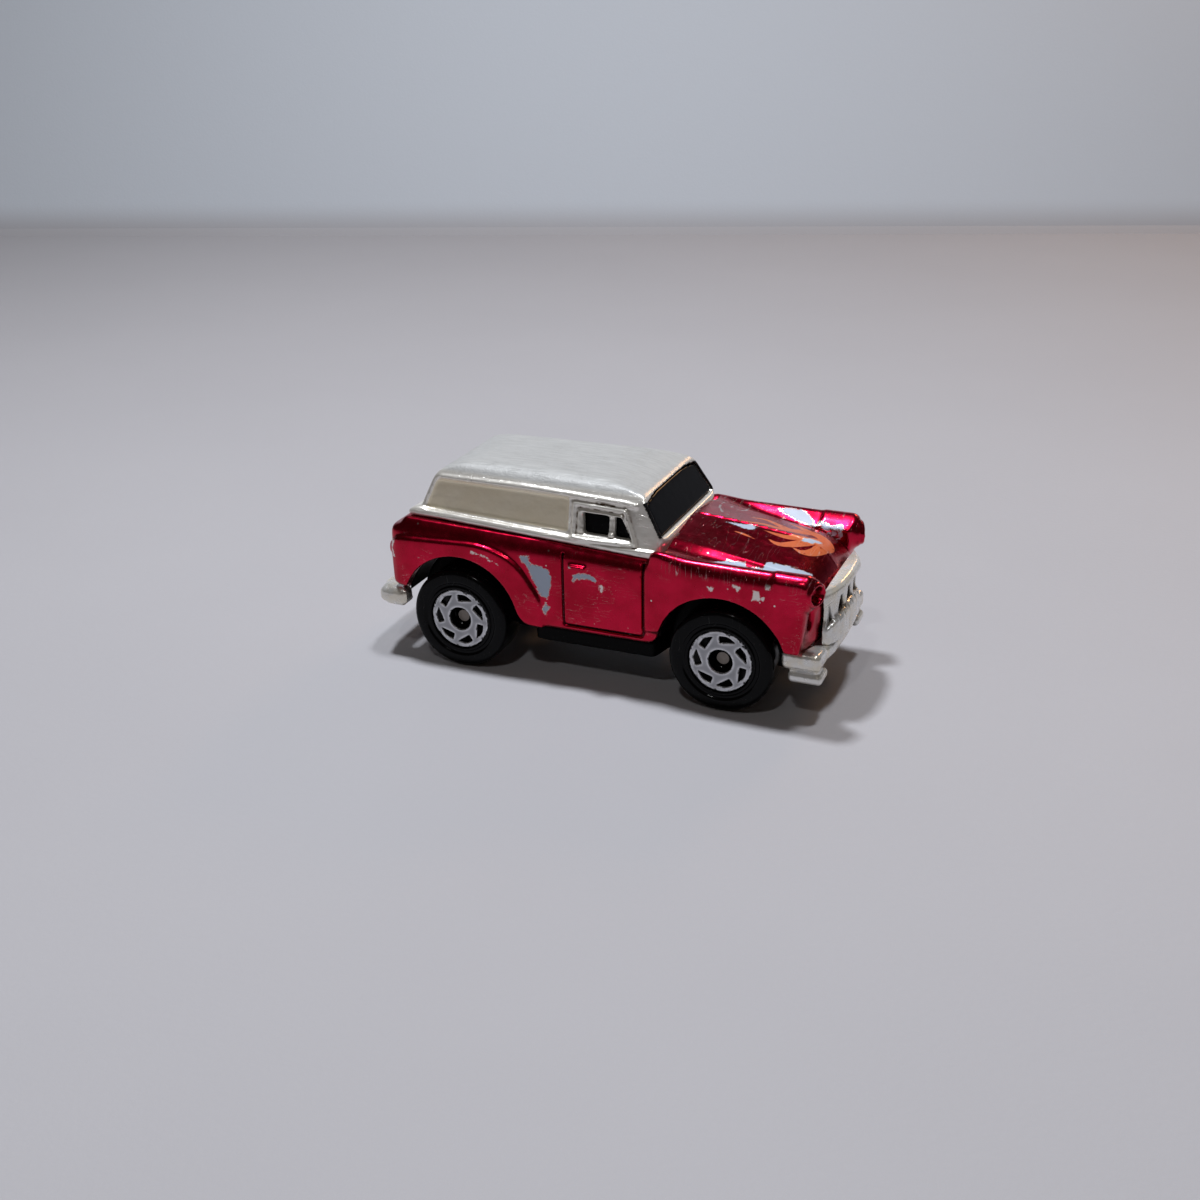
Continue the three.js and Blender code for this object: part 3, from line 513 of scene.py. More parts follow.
def add_values(thing, name, numbers):
    """Stores one number per point of a mesh, for a material to read."""
    attribute = thing.data.attributes.new(name, "FLOAT", "POINT")
    attribute.data.foreach_set("value", numbers.astype(np.float32))


def new_object(name, data):
    thing = bpy.data.objects.new(name, data)
    bpy.context.collection.objects.link(thing)
    return thing


def mesh_object(name, points, faces):
    """A smooth-shaded object from points in millimetres."""
    mesh = bpy.data.meshes.new(name)
    mesh.from_pydata((points * MM).tolist(), [], faces.tolist())
    mesh.validate()
    mesh.shade_smooth()
    return new_object(name, mesh)


def moulded(name, distance, low, high, step, marks=None):
    """A mesh of the solid that distance describes between corners low and high, mirrored about Y = 0.

    Its points carry 'convex', which is above zero on outer edges and below zero in creases, and
    whatever marks(points) returns by name.
    """
    margin = 3 * step
    x = np.arange(low[0] - margin, high[0] + margin, step)[:, None, None]
    y = np.arange(0, high[1] + margin, step)[None, :, None]
    z = np.arange(low[2] - margin, high[2] + margin, step)[None, None, :]
    half = np.broadcast_to(distance(x, y, z), (x.size, y.size, z.size)).astype(np.float32)
    whole = np.concatenate([half[:, :0:-1], half], axis=1)
    spots, faces = surfaced(whole, 2)
    points = spots * step + np.array([x.flat[0], -y.flat[-1], z.flat[0]])
    thing = mesh_object(name, points, faces)
    values = {"convex": convexity(whole, spots, step)}
    values.update(marks(points) if marks else {})
    for key, numbers in values.items():
        add_values(thing, key, numbers)
    return thing


def turned(name, profile, sides):
    """A solid turned about the Y axis from a closed profile of (radius, y) in millimetres."""
    count = len(profile)
    angles = np.linspace(0, 2 * math.pi, sides, endpoint=False)
    points = [(r * math.cos(a), y, r * math.sin(a)) for a in angles for r, y in profile]
    faces = []
    for ring in range(sides):
        here, after = ring * count, (ring + 1) % sides * count
        for step in range(count):
            following = (step + 1) % count
            faces.append((here + step, here + following, after + following, after + step))
    return mesh_object(name, np.array(points), np.array(faces))


AXLE_HOLE_RADIUS = 0.48
HUB_HOLE_RADIUS = 0.88
FACE_HALF = 0.1  # half the thickness of a wheel face
WINDOW_COUNT = 7


def wheel_profile():
    """Section of a wheel as (radius, y): tyre, groove round the face, sunk seat, hub hole."""
    half, face = WHEEL_HALF, FACE_RADIUS
    edge = [
        (AXLE_HOLE_RADIUS, -half + 0.2), (1.6, -half + 0.1), (2.9, -half + 0.02, 0.3),
        (WHEEL_RADIUS, -half + 0.02, 0.55), (WHEEL_RADIUS, half - 0.02, 1.0),
        (face + 0.62, half - 0.02, 0.12), (face + 0.5, half - 0.14, 0.05), (face + 0.3, half - 0.14, 0.05),
        (face + 0.24, half - 0.02, 0.05), (face + 0.06, half - 0.04, 0.05), (face + 0.05, half - 0.35),
        (HUB_HOLE_RADIUS, half - 0.36, 0.06), (0.86, half - 1.0), (AXLE_HOLE_RADIUS, half - 1.0),
    ]
    return rounded(edge, 7)


# ---- looks ----


class Look:
    """One procedural material. Each method that makes nodes returns the socket to use next."""

    def __init__(self, name):
        self.material = bpy.data.materials.new(name)
        self.material.use_nodes = True
        self.tree = self.material.node_tree
        self.shader = self.tree.nodes["Principled BSDF"]
        place = self.make("ShaderNodeTexCoord").outputs["Object"]
        scaled = self.make("ShaderNodeVectorMath", operation="SCALE")
        self.connect(place, scaled.inputs[0])
        scaled.inputs["Scale"].default_value = 1 / MM
        self.place = scaled.outputs[0]

    def make(self, kind, **settings):
        node = self.tree.nodes.new(kind)
        for key, value in settings.items():
            setattr(node, key, value)
        return node

    def connect(self, source, socket):
        """Links a socket, or sets a plain value on it."""
        if isinstance(source, bpy.types.NodeSocket):
            self.tree.links.new(source, socket)
        elif isinstance(source, (tuple, list)) and len(source) == 3 and socket.type == "RGBA":
            socket.default_value = (*source, 1)
        else:
            socket.default_value = source

    def math(self, operation, *values):
        node = self.make("ShaderNodeMath", operation=operation)
        for value, socket in zip(values, node.inputs):
            self.connect(value, socket)
        return node.outputs[0]

    def attribute(self, name):
        return self.make("ShaderNodeAttribute", attribute_name=name).outputs["Fac"]

    def axes(self):
        """The place on the object as x, y and z, in millimetres."""
        node = self.make("ShaderNodeSeparateXYZ")
        self.connect(self.place, node.inputs[0])
        return node.outputs[0], node.outputs[1], node.outputs[2]

    def texture(self, kind, scale, stretch, shift):
        """A texture that reads the place in millimetres, stretched and shifted."""
        mapping = self.make("ShaderNodeMapping")
        self.connect(self.place, mapping.inputs["Vector"])
        mapping.inputs["Scale"].default_value = stretch
        mapping.inputs["Location"].default_value = shift
        node = self.make(kind)
        self.connect(mapping.outputs[0], node.inputs["Vector"])
        node.inputs["Scale"].default_value = scale
        return node

    def noise(self, scale, detail=2.0, roughness=0.5, stretch=(1, 1, 1), shift=(0, 0, 0)):
        node = self.texture("ShaderNodeTexNoise", scale, stretch, shift)
        node.inputs["Detail"].default_value = detail
        node.inputs["Roughness"].default_value = roughness
        return node.outputs["Fac"]

    def cells(self, scale, shift=(0, 0, 0)):
        return self.texture("ShaderNodeTexVoronoi", scale, (1, 1, 1), shift).outputs["Distance"]

    def step(self, value, low, high):
        """0 below low, 1 above high, smooth between; low may be the larger one."""
        node = self.make("ShaderNodeMapRange", interpolation_type="SMOOTHSTEP")
        self.connect(value, node.inputs["Value"])
        node.inputs["From Min"].default_value = low
        node.inputs["From Max"].default_value = high
        return node.outputs["Result"]

    def mix(self, share, first, second):
        """Colours mixed by share."""
        node = self.make("ShaderNodeMix", data_type="RGBA")
        self.connect(share, node.inputs["Factor"])
        self.connect(first, node.inputs[6])
        self.connect(second, node.inputs[7])
        return node.outputs[2]

    def between(self, share, first, second):
        """Numbers mixed by share."""
        node = self.make("ShaderNodeMix", data_type="FLOAT")
        self.connect(share, node.inputs[0])
        self.connect(first, node.inputs[2])
        self.connect(second, node.inputs[3])
        return node.outputs[0]

    def chain(self, operation, values):
        total = values[0]
        for value in values[1:]:
            total = self.math(operation, total, value)
        return total

    def any(self, *masks):
        """Where at least one mask is."""
        return self.chain("MAXIMUM", masks)

    def both(self, *masks):
        """Where all masks are; a plain number weakens the rest."""
        return self.chain("MULTIPLY", masks)

    def ragged(self, amount, *noise, **settings):
        """Noise about zero, amount from its lowest to its highest."""
        return self.math("MULTIPLY", self.math("SUBTRACT", self.noise(*noise, **settings), 0.5), amount)

    def shifted(self, value, amount, *noise):
        """A value with up to amount of noise added."""
        return self.math("ADD", value, self.math("MULTIPLY", self.noise(*noise), amount))

    def patches(self, mask, low, high, *noise, **settings):
        """The parts of a mask where noise is over low."""
        return self.both(mask, self.step(self.noise(*noise, **settings), low, high))

    def less(self, mask, other):
        """mask where other is not."""
        return self.math("MULTIPLY", mask, self.math("SUBTRACT", 1.0, other))

    def hairlines(self, scale, stretch, width, shift=(0, 0, 0), patchy=0.5):
        """Fine scratches that run along the axis with the smallest stretch."""
        lines = self.noise(scale, 1.0, 0.4, stretch, shift)
        line = self.step(self.math("ABSOLUTE", self.math("SUBTRACT", lines, 0.5)), width, width * 0.3)
        return self.both(line, self.step(self.noise(0.5, 2.0, 0.5, shift=shift), patchy, patchy + 0.06))

    def finish(self, colour, metallic, roughness, height, depth, coat=0.0, coat_roughness=0.08, specular=0.5):
        """Fills in the shader. height and depth, in millimetres, are the surface's fine relief."""
        for key, value in (("Base Color", colour), ("Metallic", metallic), ("Roughness", roughness)):
            self.connect(value, self.shader.inputs[key])
        self.shader.inputs["Coat Weight"].default_value = coat
        self.shader.inputs["Coat Roughness"].default_value = coat_roughness
        self.shader.inputs["Specular IOR Level"].default_value = specular
        bump = self.make("ShaderNodeBump")
        bump.inputs["Distance"].default_value = depth * MM
        bump.inputs["Strength"].default_value = 1.0
        self.connect(height, bump.inputs["Height"])
        self.connect(bump.outputs[0], self.shader.inputs["Normal"])
        return self.material


PLASTIC = (0.46, 0.53, 0.66)
SILVER = (0.78, 0.76, 0.72)
CRIMSON = (0.58, 0.006, 0.04)
DEEP_CRIMSON = (0.40, 0.003, 0.022)
# Near-black red painted into creases as shade.
PAINTED_CREASE_SHADE = (0.05, 0.0, 0.004)
RED_BLUSH = (0.6, 0.12, 0.16)
FLAME_ORANGE = (0.72, 0.17, 0.05)
PLATING = ((0.84, 0.80, 0.73), (0.96, 0.93, 0.87))
CROWN = ((0.30, 0.30, 0.29), (0.62, 0.62, 0.61))
CREAM = ((0.93, 0.82, 0.60), (0.98, 0.90, 0.72))
CREASE_BROWN = (0.12, 0.08, 0.05)
GLOSS_BLACK = (0.006, 0.006, 0.007)
# Black plastics: name, colour, lowest and highest roughness, and specular level.
BASE_PLASTIC = ("base_plastic", (0.004, 0.004, 0.004), 0.35, 0.55, 0.06)
WHEEL_PLASTIC = ("wheel_plastic", (0.003, 0.003, 0.0035), 0.1, 0.2, 0.1)
KEEPER_PLASTIC = ("keeper_plastic", (0.02, 0.02, 0.022), 0.35, 0.55, 0.06)


def red_look():
    look = Look("red_plating")
    convex = look.attribute("convex")
    ragged = look.ragged(0.8, 3.2, 6.0, 0.75)
    edge = look.math("ADD", look.attribute("chip"), ragged)
    chip = look.step(edge, 0.0, -0.015)
    rim = look.less(look.step(edge, 0.045, 0.03), chip)
    worn_edge = look.patches(look.step(convex, 0.75, 0.95), 0.56, 0.6, 1.2, 4.0, 0.7)
    scratch = look.hairlines(1.0, (2.6, 0.3, 0.3), 0.008, patchy=0.4)
    scratch = look.both(scratch, look.step(look.attribute("hood"), 0.0, 0.4))
    fine = look.hairlines(1.6, (0.5, 5.0, 3.0), 0.005, (3, 1, 7), 0.52)
    specks = look.patches(look.step(look.cells(1.1, (4, 2, 8)), 0.09, 0.06), 0.5, 0.55, 0.4, 1.0)
    rubbed = look.step(look.math("ADD", look.attribute("rub"), ragged), -0.01, -0.06)
    bare = look.any(rim, rubbed, worn_edge, look.both(scratch, 0.5), look.both(fine, 0.4), specks)
    flame = look.math("ADD", look.attribute("print"), look.math("MULTIPLY", ragged, 0.15))
    flame = look.less(look.step(flame, 0.0, -0.03), look.step(look.noise(4, 3, 0.7), 0.62, 0.66))
    tone = look.noise(0.35, 3.0, 0.6)
    red = look.mix(look.step(tone, 0.3, 0.7), DEEP_CRIMSON, CRIMSON)
    # Painted shade: the red is coloured nearly black in creases, where shade falls.
    red = look.mix(look.step(convex, -0.25, -0.7), red, PAINTED_CREASE_SHADE)
    colour = look.mix(look.both(flame, 0.9), red, FLAME_ORANGE)
    colour = look.mix(look.both(bare, 0.85), colour, SILVER)
    colour = look.mix(chip, colour, PLASTIC)
    metallic = look.less(look.less(1.0, chip), look.both(flame, 0.75))
    roughness = look.between(look.any(chip, flame), look.between(look.noise(2.0, 3.0, 0.6), 0.16, 0.34), 0.42)
    relief = look.math("SUBTRACT", look.noise(0.7, 1.0, 0.4), look.both(look.any(chip, scratch), 0.5))
    return look.finish(colour, metallic, roughness, relief, 0.04, coat=0.15, coat_roughness=0.1)


def silver_look():
    look = Look("silver_plating")
    convex = look.attribute("convex")
    panel = look.step(look.shifted(look.attribute("panel"), 0.04, 4.0, 2.0), 0.1, -0.05)
    sparkle = look.cells(7.0)
    scratches = look.any(
        look.hairlines(1.0, (0.3, 3.0, 3.0), 0.012, (1, 2, 3), 0.5),
        look.hairlines(1.0, (2.5, 0.6, 0.6), 0.008, (8, 2, 5), 0.55),
    )
    # Dark brown patches in the creases, chosen by noise.
    recess_dark = look.patches(look.step(convex, -0.2, -0.6), 0.42, 0.6, 2.0, 3.0)
    blush = look.patches(look.step(look.attribute("ledge"), 0.35, 0.0), 0.4, 0.6, 1.0, 3.0)
    crown = look.step(look.attribute("crown"), 0.0, 0.35)
    base = look.mix(look.noise(0.5, 3.0), *PLATING)
    base = look.mix(crown, base, look.mix(look.noise(3.0, 5.0, 0.75, (0.15, 1.5, 1)), *CROWN))
    base = look.mix(panel, base, look.mix(look.noise(0.7, 3.0), *CREAM))
    base = look.mix(look.both(blush, 0.6), base, RED_BLUSH)
    base = look.mix(recess_dark, base, CREASE_BROWN)
    chipped = look.patches(look.step(convex, 0.6, 0.8), 0.6, 0.64, 1.6, 4.0, 0.7, shift=(2, 5, 1))
    surround = look.step(look.shifted(look.attribute("surround"), 0.25, 5.0, 4.0, 0.7), 0.1, 0.06)
    black = look.any(chipped, surround)
    base = look.mix(black, base, GLOSS_BLACK)
    metallic = look.between(crown, look.less(0.55, black), 0.1)
    rough = look.between(look.any(panel, crown), look.between(look.noise(3.0, 4.0, 0.7), 0.16, 0.3), 0.46)
    relief = look.math("ADD", look.noise(1.2, 2.0, 0.5), look.both(sparkle, crown, 0.35))
    relief = look.math("SUBTRACT", relief, look.less(look.both(scratches, 0.4), panel))
    return look.finish(base, metallic, rough, relief, 0.03, coat=0.15)


def chrome_look():
    look = Look("bright_trim")
    convex = look.attribute("convex")
    # Dark patches in the creases, chosen by noise.
    recess_dark = look.patches(look.step(convex, -0.15, -0.6), 0.35, 0.55, 2.5, 3.0)
    warm = look.step(look.noise(0.8, 3.0), 0.4, 0.65)
    base = look.mix(warm, (0.84, 0.83, 0.80), (0.82, 0.76, 0.64))
    # Painted shade: the floors and deep walls of the gaps between the grille's teeth are coloured near black,
    # added to the crease patches.
    recess_dark = look.any(recess_dark, look.attribute("gap_shade"))
    base = look.mix(recess_dark, base, (0.03, 0.018, 0.01))
    blotch = look.step(look.noise(3.0, 4.0, 0.7, shift=(5, 5, 5)), 0.62, 0.68)
    base = look.mix(look.both(blotch, 0.5), base, (0.35, 0.33, 0.32))
    rough = look.between(look.any(recess_dark, blotch), look.between(look.noise(2.0, 3.0), 0.14, 0.35), 0.6)
    relief = look.noise(2.0, 2.0, 0.5)
    return look.finish(base, look.less(0.5, recess_dark), rough, relief, 0.04, coat=0.3)


def glazing_look():
    look = Look("black_glazing")
    smear = look.noise(1.5, 4.0, 0.7, (1, 1, 0.4))
    specks = look.step(look.cells(3.0), 0.06, 0.03)
    colour = look.mix(look.both(specks, 0.3), (0.004, 0.004, 0.005), (0.3, 0.3, 0.3))
    rough = look.between(smear, 0.06, 0.2)
    return look.finish(colour, 0.0, rough, smear, 0.01, specular=0.1)


def black_look(name, shade, rough_low, rough_high, specular):
    look = Look(name)
    tone = look.noise(2.0, 4.0, 0.6)
    scuff = look.hairlines(0.8, (2.0, 1.0, 0.5), 0.006, (2, 8, 1), 0.6)
    dust = look.both(look.step(look.cells(4.0, (1, 1, 4)), 0.08, 0.04), 0.35)
    colour = look.mix(tone, tuple(c * 0.6 for c in shade), shade)
    colour = look.mix(look.any(look.both(scuff, 0.15), dust), colour, (0.35, 0.34, 0.33))
    rough = look.between(tone, rough_low, rough_high)
    return look.finish(colour, 0.0, rough, look.noise(1.5, 3.0, 0.5), 0.02, specular=specular)


def foil_look():
    look = Look("wheel_foil")
    x, _, z = look.axes()
    radius = look.math("SQRT", look.math("ADD", look.math("MULTIPLY", x, x), look.math("MULTIPLY", z, z)))
    ragged = look.ragged(1.3, 2.2, 5.0, 0.75)
    rim = look.step(look.math("ADD", radius, ragged), FACE_RADIUS - 0.05, FACE_RADIUS + 0.02)
    convex = look.attribute("convex")
    worn = look.patches(look.step(convex, 0.5, 0.8), 0.55, 0.6, 2.2, 4.0, 0.7, shift=(3, 1, 1))
    bare = look.any(rim, worn)
    tone = look.noise(1.5, 4.0, 0.7)
    colour = look.mix(tone, (0.14, 0.14, 0.15), (0.36, 0.36, 0.38))
    # Painted highlight: the raised edges of the windows and rim are coloured light grey.
    colour = look.mix(look.step(convex, 0.3, 0.6), colour, (0.66, 0.66, 0.68))
    colour = look.mix(bare, colour, (0.012, 0.012, 0.013))
    rough = look.between(bare, look.between(tone, 0.28, 0.45), 0.4)
    relief = look.math("SUBTRACT", look.noise(4.0, 3.0), look.both(bare, 0.5))
    return look.finish(colour, look.less(0.9, bare), rough, relief, 0.03)


def steel_look():
    look = Look("axle_steel")
    tone = look.noise(3.0, 4.0, 0.7)
    colour = look.mix(tone, (0.14, 0.12, 0.10), (0.32, 0.28, 0.25))
    rough = look.between(look.noise(6.0, 3.0), 0.3, 0.6)
    return look.finish(colour, 0.85, rough, look.noise(8.0, 3.0), 0.02)


# ---- pieces ----


# Marks, drawn on the right side in (x, z) or on top of the hood in (x, y). A patch is an outline; a
# stroke is a line of (a, b, half width) that swells and tapers. Chips show the plastic under the
# plating; rubs show bare plating without its red tint.
SIDE_CHIPS = [
    [(-5.2, 9.4), (-4.5, 9.5), (-4.3, 8.9), (-3.5, 8.9), (-3.0, 8.7), (-2.7, 8.3),
     (-2.8, 7.6), (-3.0, 6.4), (-3.5, 6.6), (-4.2, 7.9), (-4.7, 8.9)],
    [(-3.15, 6.2), (-2.95, 5.8), (-3.25, 5.1), (-3.4, 5.6)],
]
SIDE_CHIP_STROKES = [
    [(-1.0, 8.1, 0.08), (-0.9, 8.5, 0.16), (0.3, 8.65, 0.16), (0.75, 8.4, 0.08)],
]
SIDE_RUBS = [
    [(0.9, 7.7), (1.2, 8.3), (1.5, 8.0), (1.2, 7.5)],
    [(12.4, 9.0), (12.45, 9.7), (12.9, 9.7), (13.0, 9.3), (13.3, 9.35), (13.2, 9.05)],
    [(13.2, 10.3), (13.8, 10.3), (13.7, 9.9), (13.3, 9.9)],
    [(11.0, 9.9), (11.6, 9.9), (11.4, 9.3)],
    [(9.0, 9.5), (9.9, 9.6), (9.5, 9.2)],
]
SIDE_RUB_STROKES = [
    [(-8.9, 9.3, 0.1), (-8.3, 9.2, 0.05), (-7.6, 9.0, 0.08)],
    [(-7.5, 8.85, 0.07), (-7.1, 8.8, 0.04), (-6.8, 8.55, 0.07)],
    [(-15.55, 9.1, 0.18), (-15.8, 8.6, 0.1), (-15.55, 8.0, 0.12)],
]
HOOD_CHIPS = [
    [(8.4, -5.8), (9.2, -5.05), (10.0, -4.6), (11.0, -4.4), (11.3, -4.7), (12.3, -4.4), (12.5, -3.8),
     (13.4, -3.6), (14.6, -3.4), (15.4, -3.1), (15.6, -3.6), (15.7, -5.0), (15.0, -5.8), (12.0, -6.0)],
    [(8.4, -0.5), (9.5, -0.3), (10.0, -0.1), (10.6, -0.2), (10.5, -0.6), (9.8, -0.8)],
    [(10.4, 5.8), (11.0, 6.1), (12.1, 6.0), (12.8, 5.6), (13.5, 4.8), (12.7, 4.9), (11.6, 5.3)],
    [(13.8, -0.4), (14.2, 0.5), (15.0, 1.1), (15.0, 0.6), (14.6, -0.2)],
]
HOOD_CHIP_STROKES = [
    [(13.7, 5.1, 0.1), (14.3, 4.9, 0.16), (14.6, 4.85, 0.05), (15.3, 4.9, 0.2)],
]
HOOD_RUB_STROKES = [
    [(6.7, 5.2, 0.03), (6.6, 3.7, 0.06), (6.9, 2.4, 0.09), (7.5, 1.4, 0.08), (8.0, 1.1, 0.03)],
    [(7.5, 3.3, 0.08), (7.3, 5.2, 0.03)],
    [(7.9, 3.3, 0.04), (8.4, 3.2, 0.09), (8.6, 3.9, 0.07), (8.1, 5.9, 0.06)],
    [(8.3, 6.3, 0.05), (8.9, 6.3, 0.08), (9.8, 6.1, 0.03)],
]
FLAMES = [
    [(8.4, 0.1, 0.02), (9.7, 0.3, 0.16), (10.7, 0.95, 0.26), (12.0, 0.75, 0.36),
     (13.1, 1.5, 0.6), (13.8, 2.3, 0.6)],
    [(9.3, 1.8, 0.02), (10.3, 2.6, 0.2), (11.2, 2.1, 0.3), (12.4, 1.3, 0.45)],
    [(11.6, 3.6, 0.02), (12.7, 3.2, 0.25), (13.6, 2.6, 0.5)],
    [(13.0, 1.6, 0.5), (14.0, 2.5, 0.7), (14.8, 2.2, 0.7), (15.3, 1.3, 0.55),
     (15.3, 0.2, 0.45), (15.0, -0.9, 0.36), (14.3, -1.7, 0.24), (13.4, -1.4, 0.02)],
    [(14.7, 0.8, 0.5), (14.2, -0.4, 0.42), (13.3, -1.2, 0.32), (12.4, -1.6, 0.2), (11.6, -1.2, 0.02)],
    [(11.1, -0.4, 0.02), (12.1, -0.5, 0.18), (13.0, -0.5, 0.26), (13.9, 0.2, 0.4)],
    [(9.2, -1.4, 0.02), (10.0, -1.45, 0.14), (10.9, -1.7, 0.02)],
]


UNMARKED = 1.0


def softened(line, rounds=2):
    """A line with its corners cut, twice as fine after each round."""
    line = np.array(line, float)
    for _ in range(rounds):
        pairs = [0.75 * line[:-1] + 0.25 * line[1:], 0.25 * line[:-1] + 0.75 * line[1:]]
        inner = np.stack(pairs, axis=1).reshape(-1, 3)
        line = np.concatenate([line[:1], inner[1:-1], line[-1:]])
    return line


def stroke(a, b, line):
    """Distance to a line whose half width changes from point to point, negative inside."""
    nearest = np.full(a.shape, FAR)
    line = softened(line)
    for (pa, pb, start), (qa, qb, end) in zip(line, line[1:]):
        da, db = qa - pa, qb - pb
        along = np.clip(((a - pa) * da + (b - pb) * db) / (da * da + db * db), 0, 1)
        away = np.hypot(a - pa - along * da, b - pb - along * db) - (start + (end - start) * along)
        nearest = np.minimum(nearest, away)
    return nearest


def marks_in(a, b, patches, strokes, where):
    """Distance to the nearest patch or stroke, and well clear of all of them outside where."""
    shapes = [flat(a, b, patch) for patch in patches] + [stroke(a, b, line) for line in strokes]
    return np.where(where, np.min(shapes, axis=0), UNMARKED)


def body_marks(points):
    """What the red plating shows at each point. The chips are on the right side and the hood."""
    x, y, z = points.T
    beside = y < -5.6
    above = (z > 9.4) & (x > COWL_X)
    side_chip = marks_in(x, z, SIDE_CHIPS, SIDE_CHIP_STROKES, beside)
    hood_chip = marks_in(x, y, HOOD_CHIPS, HOOD_CHIP_STROKES, above)
    side_rub = marks_in(x, z, SIDE_RUBS, SIDE_RUB_STROKES, beside)
    hood_rub = marks_in(x, y, [], HOOD_RUB_STROKES, above)
    return {
        "chip": np.minimum(side_chip, hood_chip),
        "rub": np.minimum(side_rub, hood_rub),
        "print": marks_in(x, y, [], FLAMES, above),
        "hood": np.where(x > COWL_X, z - 9.8, -1.0),
    }


def grille_marks(points):
    """Painted shade: how dark the grille is coloured on the floors and deep walls of the gaps between its
    teeth.
    """
    x, y, z = points.T
    recess = np.clip((grille_front(y) - 0.33 - x) / 0.1, 0, 1)
    return {"gap_shade": np.where(tooth_gap(y, z) < 0.25, recess, 0)}


def roof_marks(points):
    """Cream side panels, the ledge, the black edge of the windscreen and the worn crown."""
    x, y, z = points.T
    panel = np.where(np.abs(y) > SIDE_Y, flat(x, z, PANEL), 5.0)
    in_front = x > screen_x(z) - 0.3
    surround = np.where(in_front, flat(np.abs(y), z, SURROUND), 5.0)
    return {"panel": panel, "ledge": z - ledge_z(x), "surround": surround, "crown": z - 14.3}


def place(piece, material, body_name, slot, *nodes):
    """Gives a piece its material, and has it ride a body in place of its CAD nodes."""
    piece.data.materials.clear()
    piece.data.materials.append(material)
    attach(piece, body_name)
    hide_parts(*nodes)


def dressed(node, material, edge):
    """A CAD node that stays as it is, with its edges softened and a material of its own."""
    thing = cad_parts[node]
    thing.data.materials.clear()
    thing.data.materials.append(material)
    bevel = thing.modifiers.new("soft_edges", "BEVEL")
    bevel.width = edge * MM
    bevel.segments = 2
    bevel.limit_method = "ANGLE"
    bevel.angle_limit = math.radians(35)


def window_outline(turn):
    """Corners of one swept window of a wheel face, as (a, b) in the face's plane."""
    def at(radius, angle):
        return radius * math.cos(turn + angle), radius * math.sin(turn + angle)

    return [(*at(1.4, -0.28), 0.08), (*at(1.9, -0.3), 0.06), (*at(2.02, 0.02), 0.4), (*at(1.88, 0.36), 0.03)]


def face_distance(x, y, z):
    """A thin disc with a hub hole and a ring of windows, about its own centre."""
    radius = np.sqrt(x**2 + z**2)
    ring = np.maximum(radius - FACE_RADIUS, HUB_HOLE_RADIUS - radius)
    turns = [index * 2 * math.pi / WINDOW_COUNT for index in range(WINDOW_COUNT)]
    windows = np.min([flat(x, z, window_outline(turn)) for turn in turns], axis=0)
    disc = common(ring, np.abs(y) - FACE_HALF, 0.06)
    return cut(disc, windows + 0 * y, 0.05)


def wheel_face_mesh():
    step = FACE_STEP
    reach = FACE_RADIUS + 3 * step
    x = np.arange(-reach, reach, step)[:, None, None]
    y = np.arange(-FACE_HALF - 3 * step, FACE_HALF + 3 * step, step)[None, :, None]
    z = np.arange(-reach, reach, step)[None, None, :]
    values = np.broadcast_to(face_distance(x, y, z), (x.size, y.size, z.size)).astype(np.float32)
    spots, faces = surfaced(values, 1)
    origin = np.array([x.flat[0], y.flat[0], z.flat[0]])
    thing = mesh_object("wheel_face_master", spots * step + origin, faces)
    add_values(thing, "convex", convexity(values, spots, step))
    return mesh_only(thing)


def mesh_only(thing):
    """The mesh of an object that is no longer needed."""
    mesh = thing.data
    bpy.data.objects.remove(thing)
    return mesh


def build_shells():
    boxes = {"window_insert": (ROOF_LOW, ROOF_HIGH), "chassis": (BASE_LOW, BASE_HIGH)}
    shells = (
        ("Body_Plating", body, "body_shell", SHELL_STEP, body_marks, red_look(), "red_body"),
        ("Roof_Plating", roof, "roof_shell", SHELL_STEP, roof_marks, silver_look(), "silver_roof"),
        ("Glazing", glazing, "window_insert", SHELL_STEP, None, glazing_look(), "black_glazing"),
        ("Grille_Trim", grille, "grille", TRIM_STEP, grille_marks, chrome_look(), "bright_trim"),
        ("Front_Bumper_Trim", front_bumper, "front_bumper", TRIM_STEP, None, chrome_look(), "bright_trim"),
        ("Rear_Bumper_Trim", rear_bumper, "rear_bumper", TRIM_STEP, None, chrome_look(), "bright_trim"),
        ("Base_Plate", chassis, "chassis", SHELL_STEP, None, black_look(*BASE_PLASTIC), "black_base"),
    )
    for name, distance, node, step, marks, material, slot in shells:
        low, high = boxes.get(node) or node_box(node)
        piece = moulded(name, distance, low, high, step, marks)
        place(piece, material, "car", slot, node)


def build_wheels():
    rubber = black_look(*WHEEL_PLASTIC)
    foil = foil_look()
    wheel_mesh = mesh_only(turned("wheel_master", wheel_profile(), WHEEL_SIDES))
    face_mesh = wheel_face_mesh()
    kinds = (("wheel", wheel_mesh, rubber, "black_wheel"), ("wheel_face", face_mesh, foil, "wheel_foil"))
    for end, hand in itertools.product(("rear", "front"), ("right", "left")):
        for kind, mesh, material, slot in kinds:
            node = f"{end}_{hand}_{kind}"
            centre, _ = wheel_place(node)
            piece = new_object(node.title() + "_Fine", mesh)
            piece.matrix_world = Matrix.Translation(Vector(centre * MM))
            if hand == "right":
                piece.matrix_world = piece.matrix_world @ Matrix.Rotation(math.pi, 4, "Z")
            place(piece, material, end + "_wheel_set", slot, node)


def dress_fittings():
    """Axles, rivets and keepers stay as the CAD nodes, with soft edges and worn materials."""
    steel = steel_look()
    for node in ("rear_axle", "front_axle", "rear_rivet", "front_rivet"):
        dressed(node, steel, FITTING_EDGE)
    keeper = black_look(*KEEPER_PLASTIC)
    for node in ("rear_axle_keeper", "front_axle_keeper"):
        dressed(node, keeper, FITTING_EDGE)


# ---- stage, light and camera ----

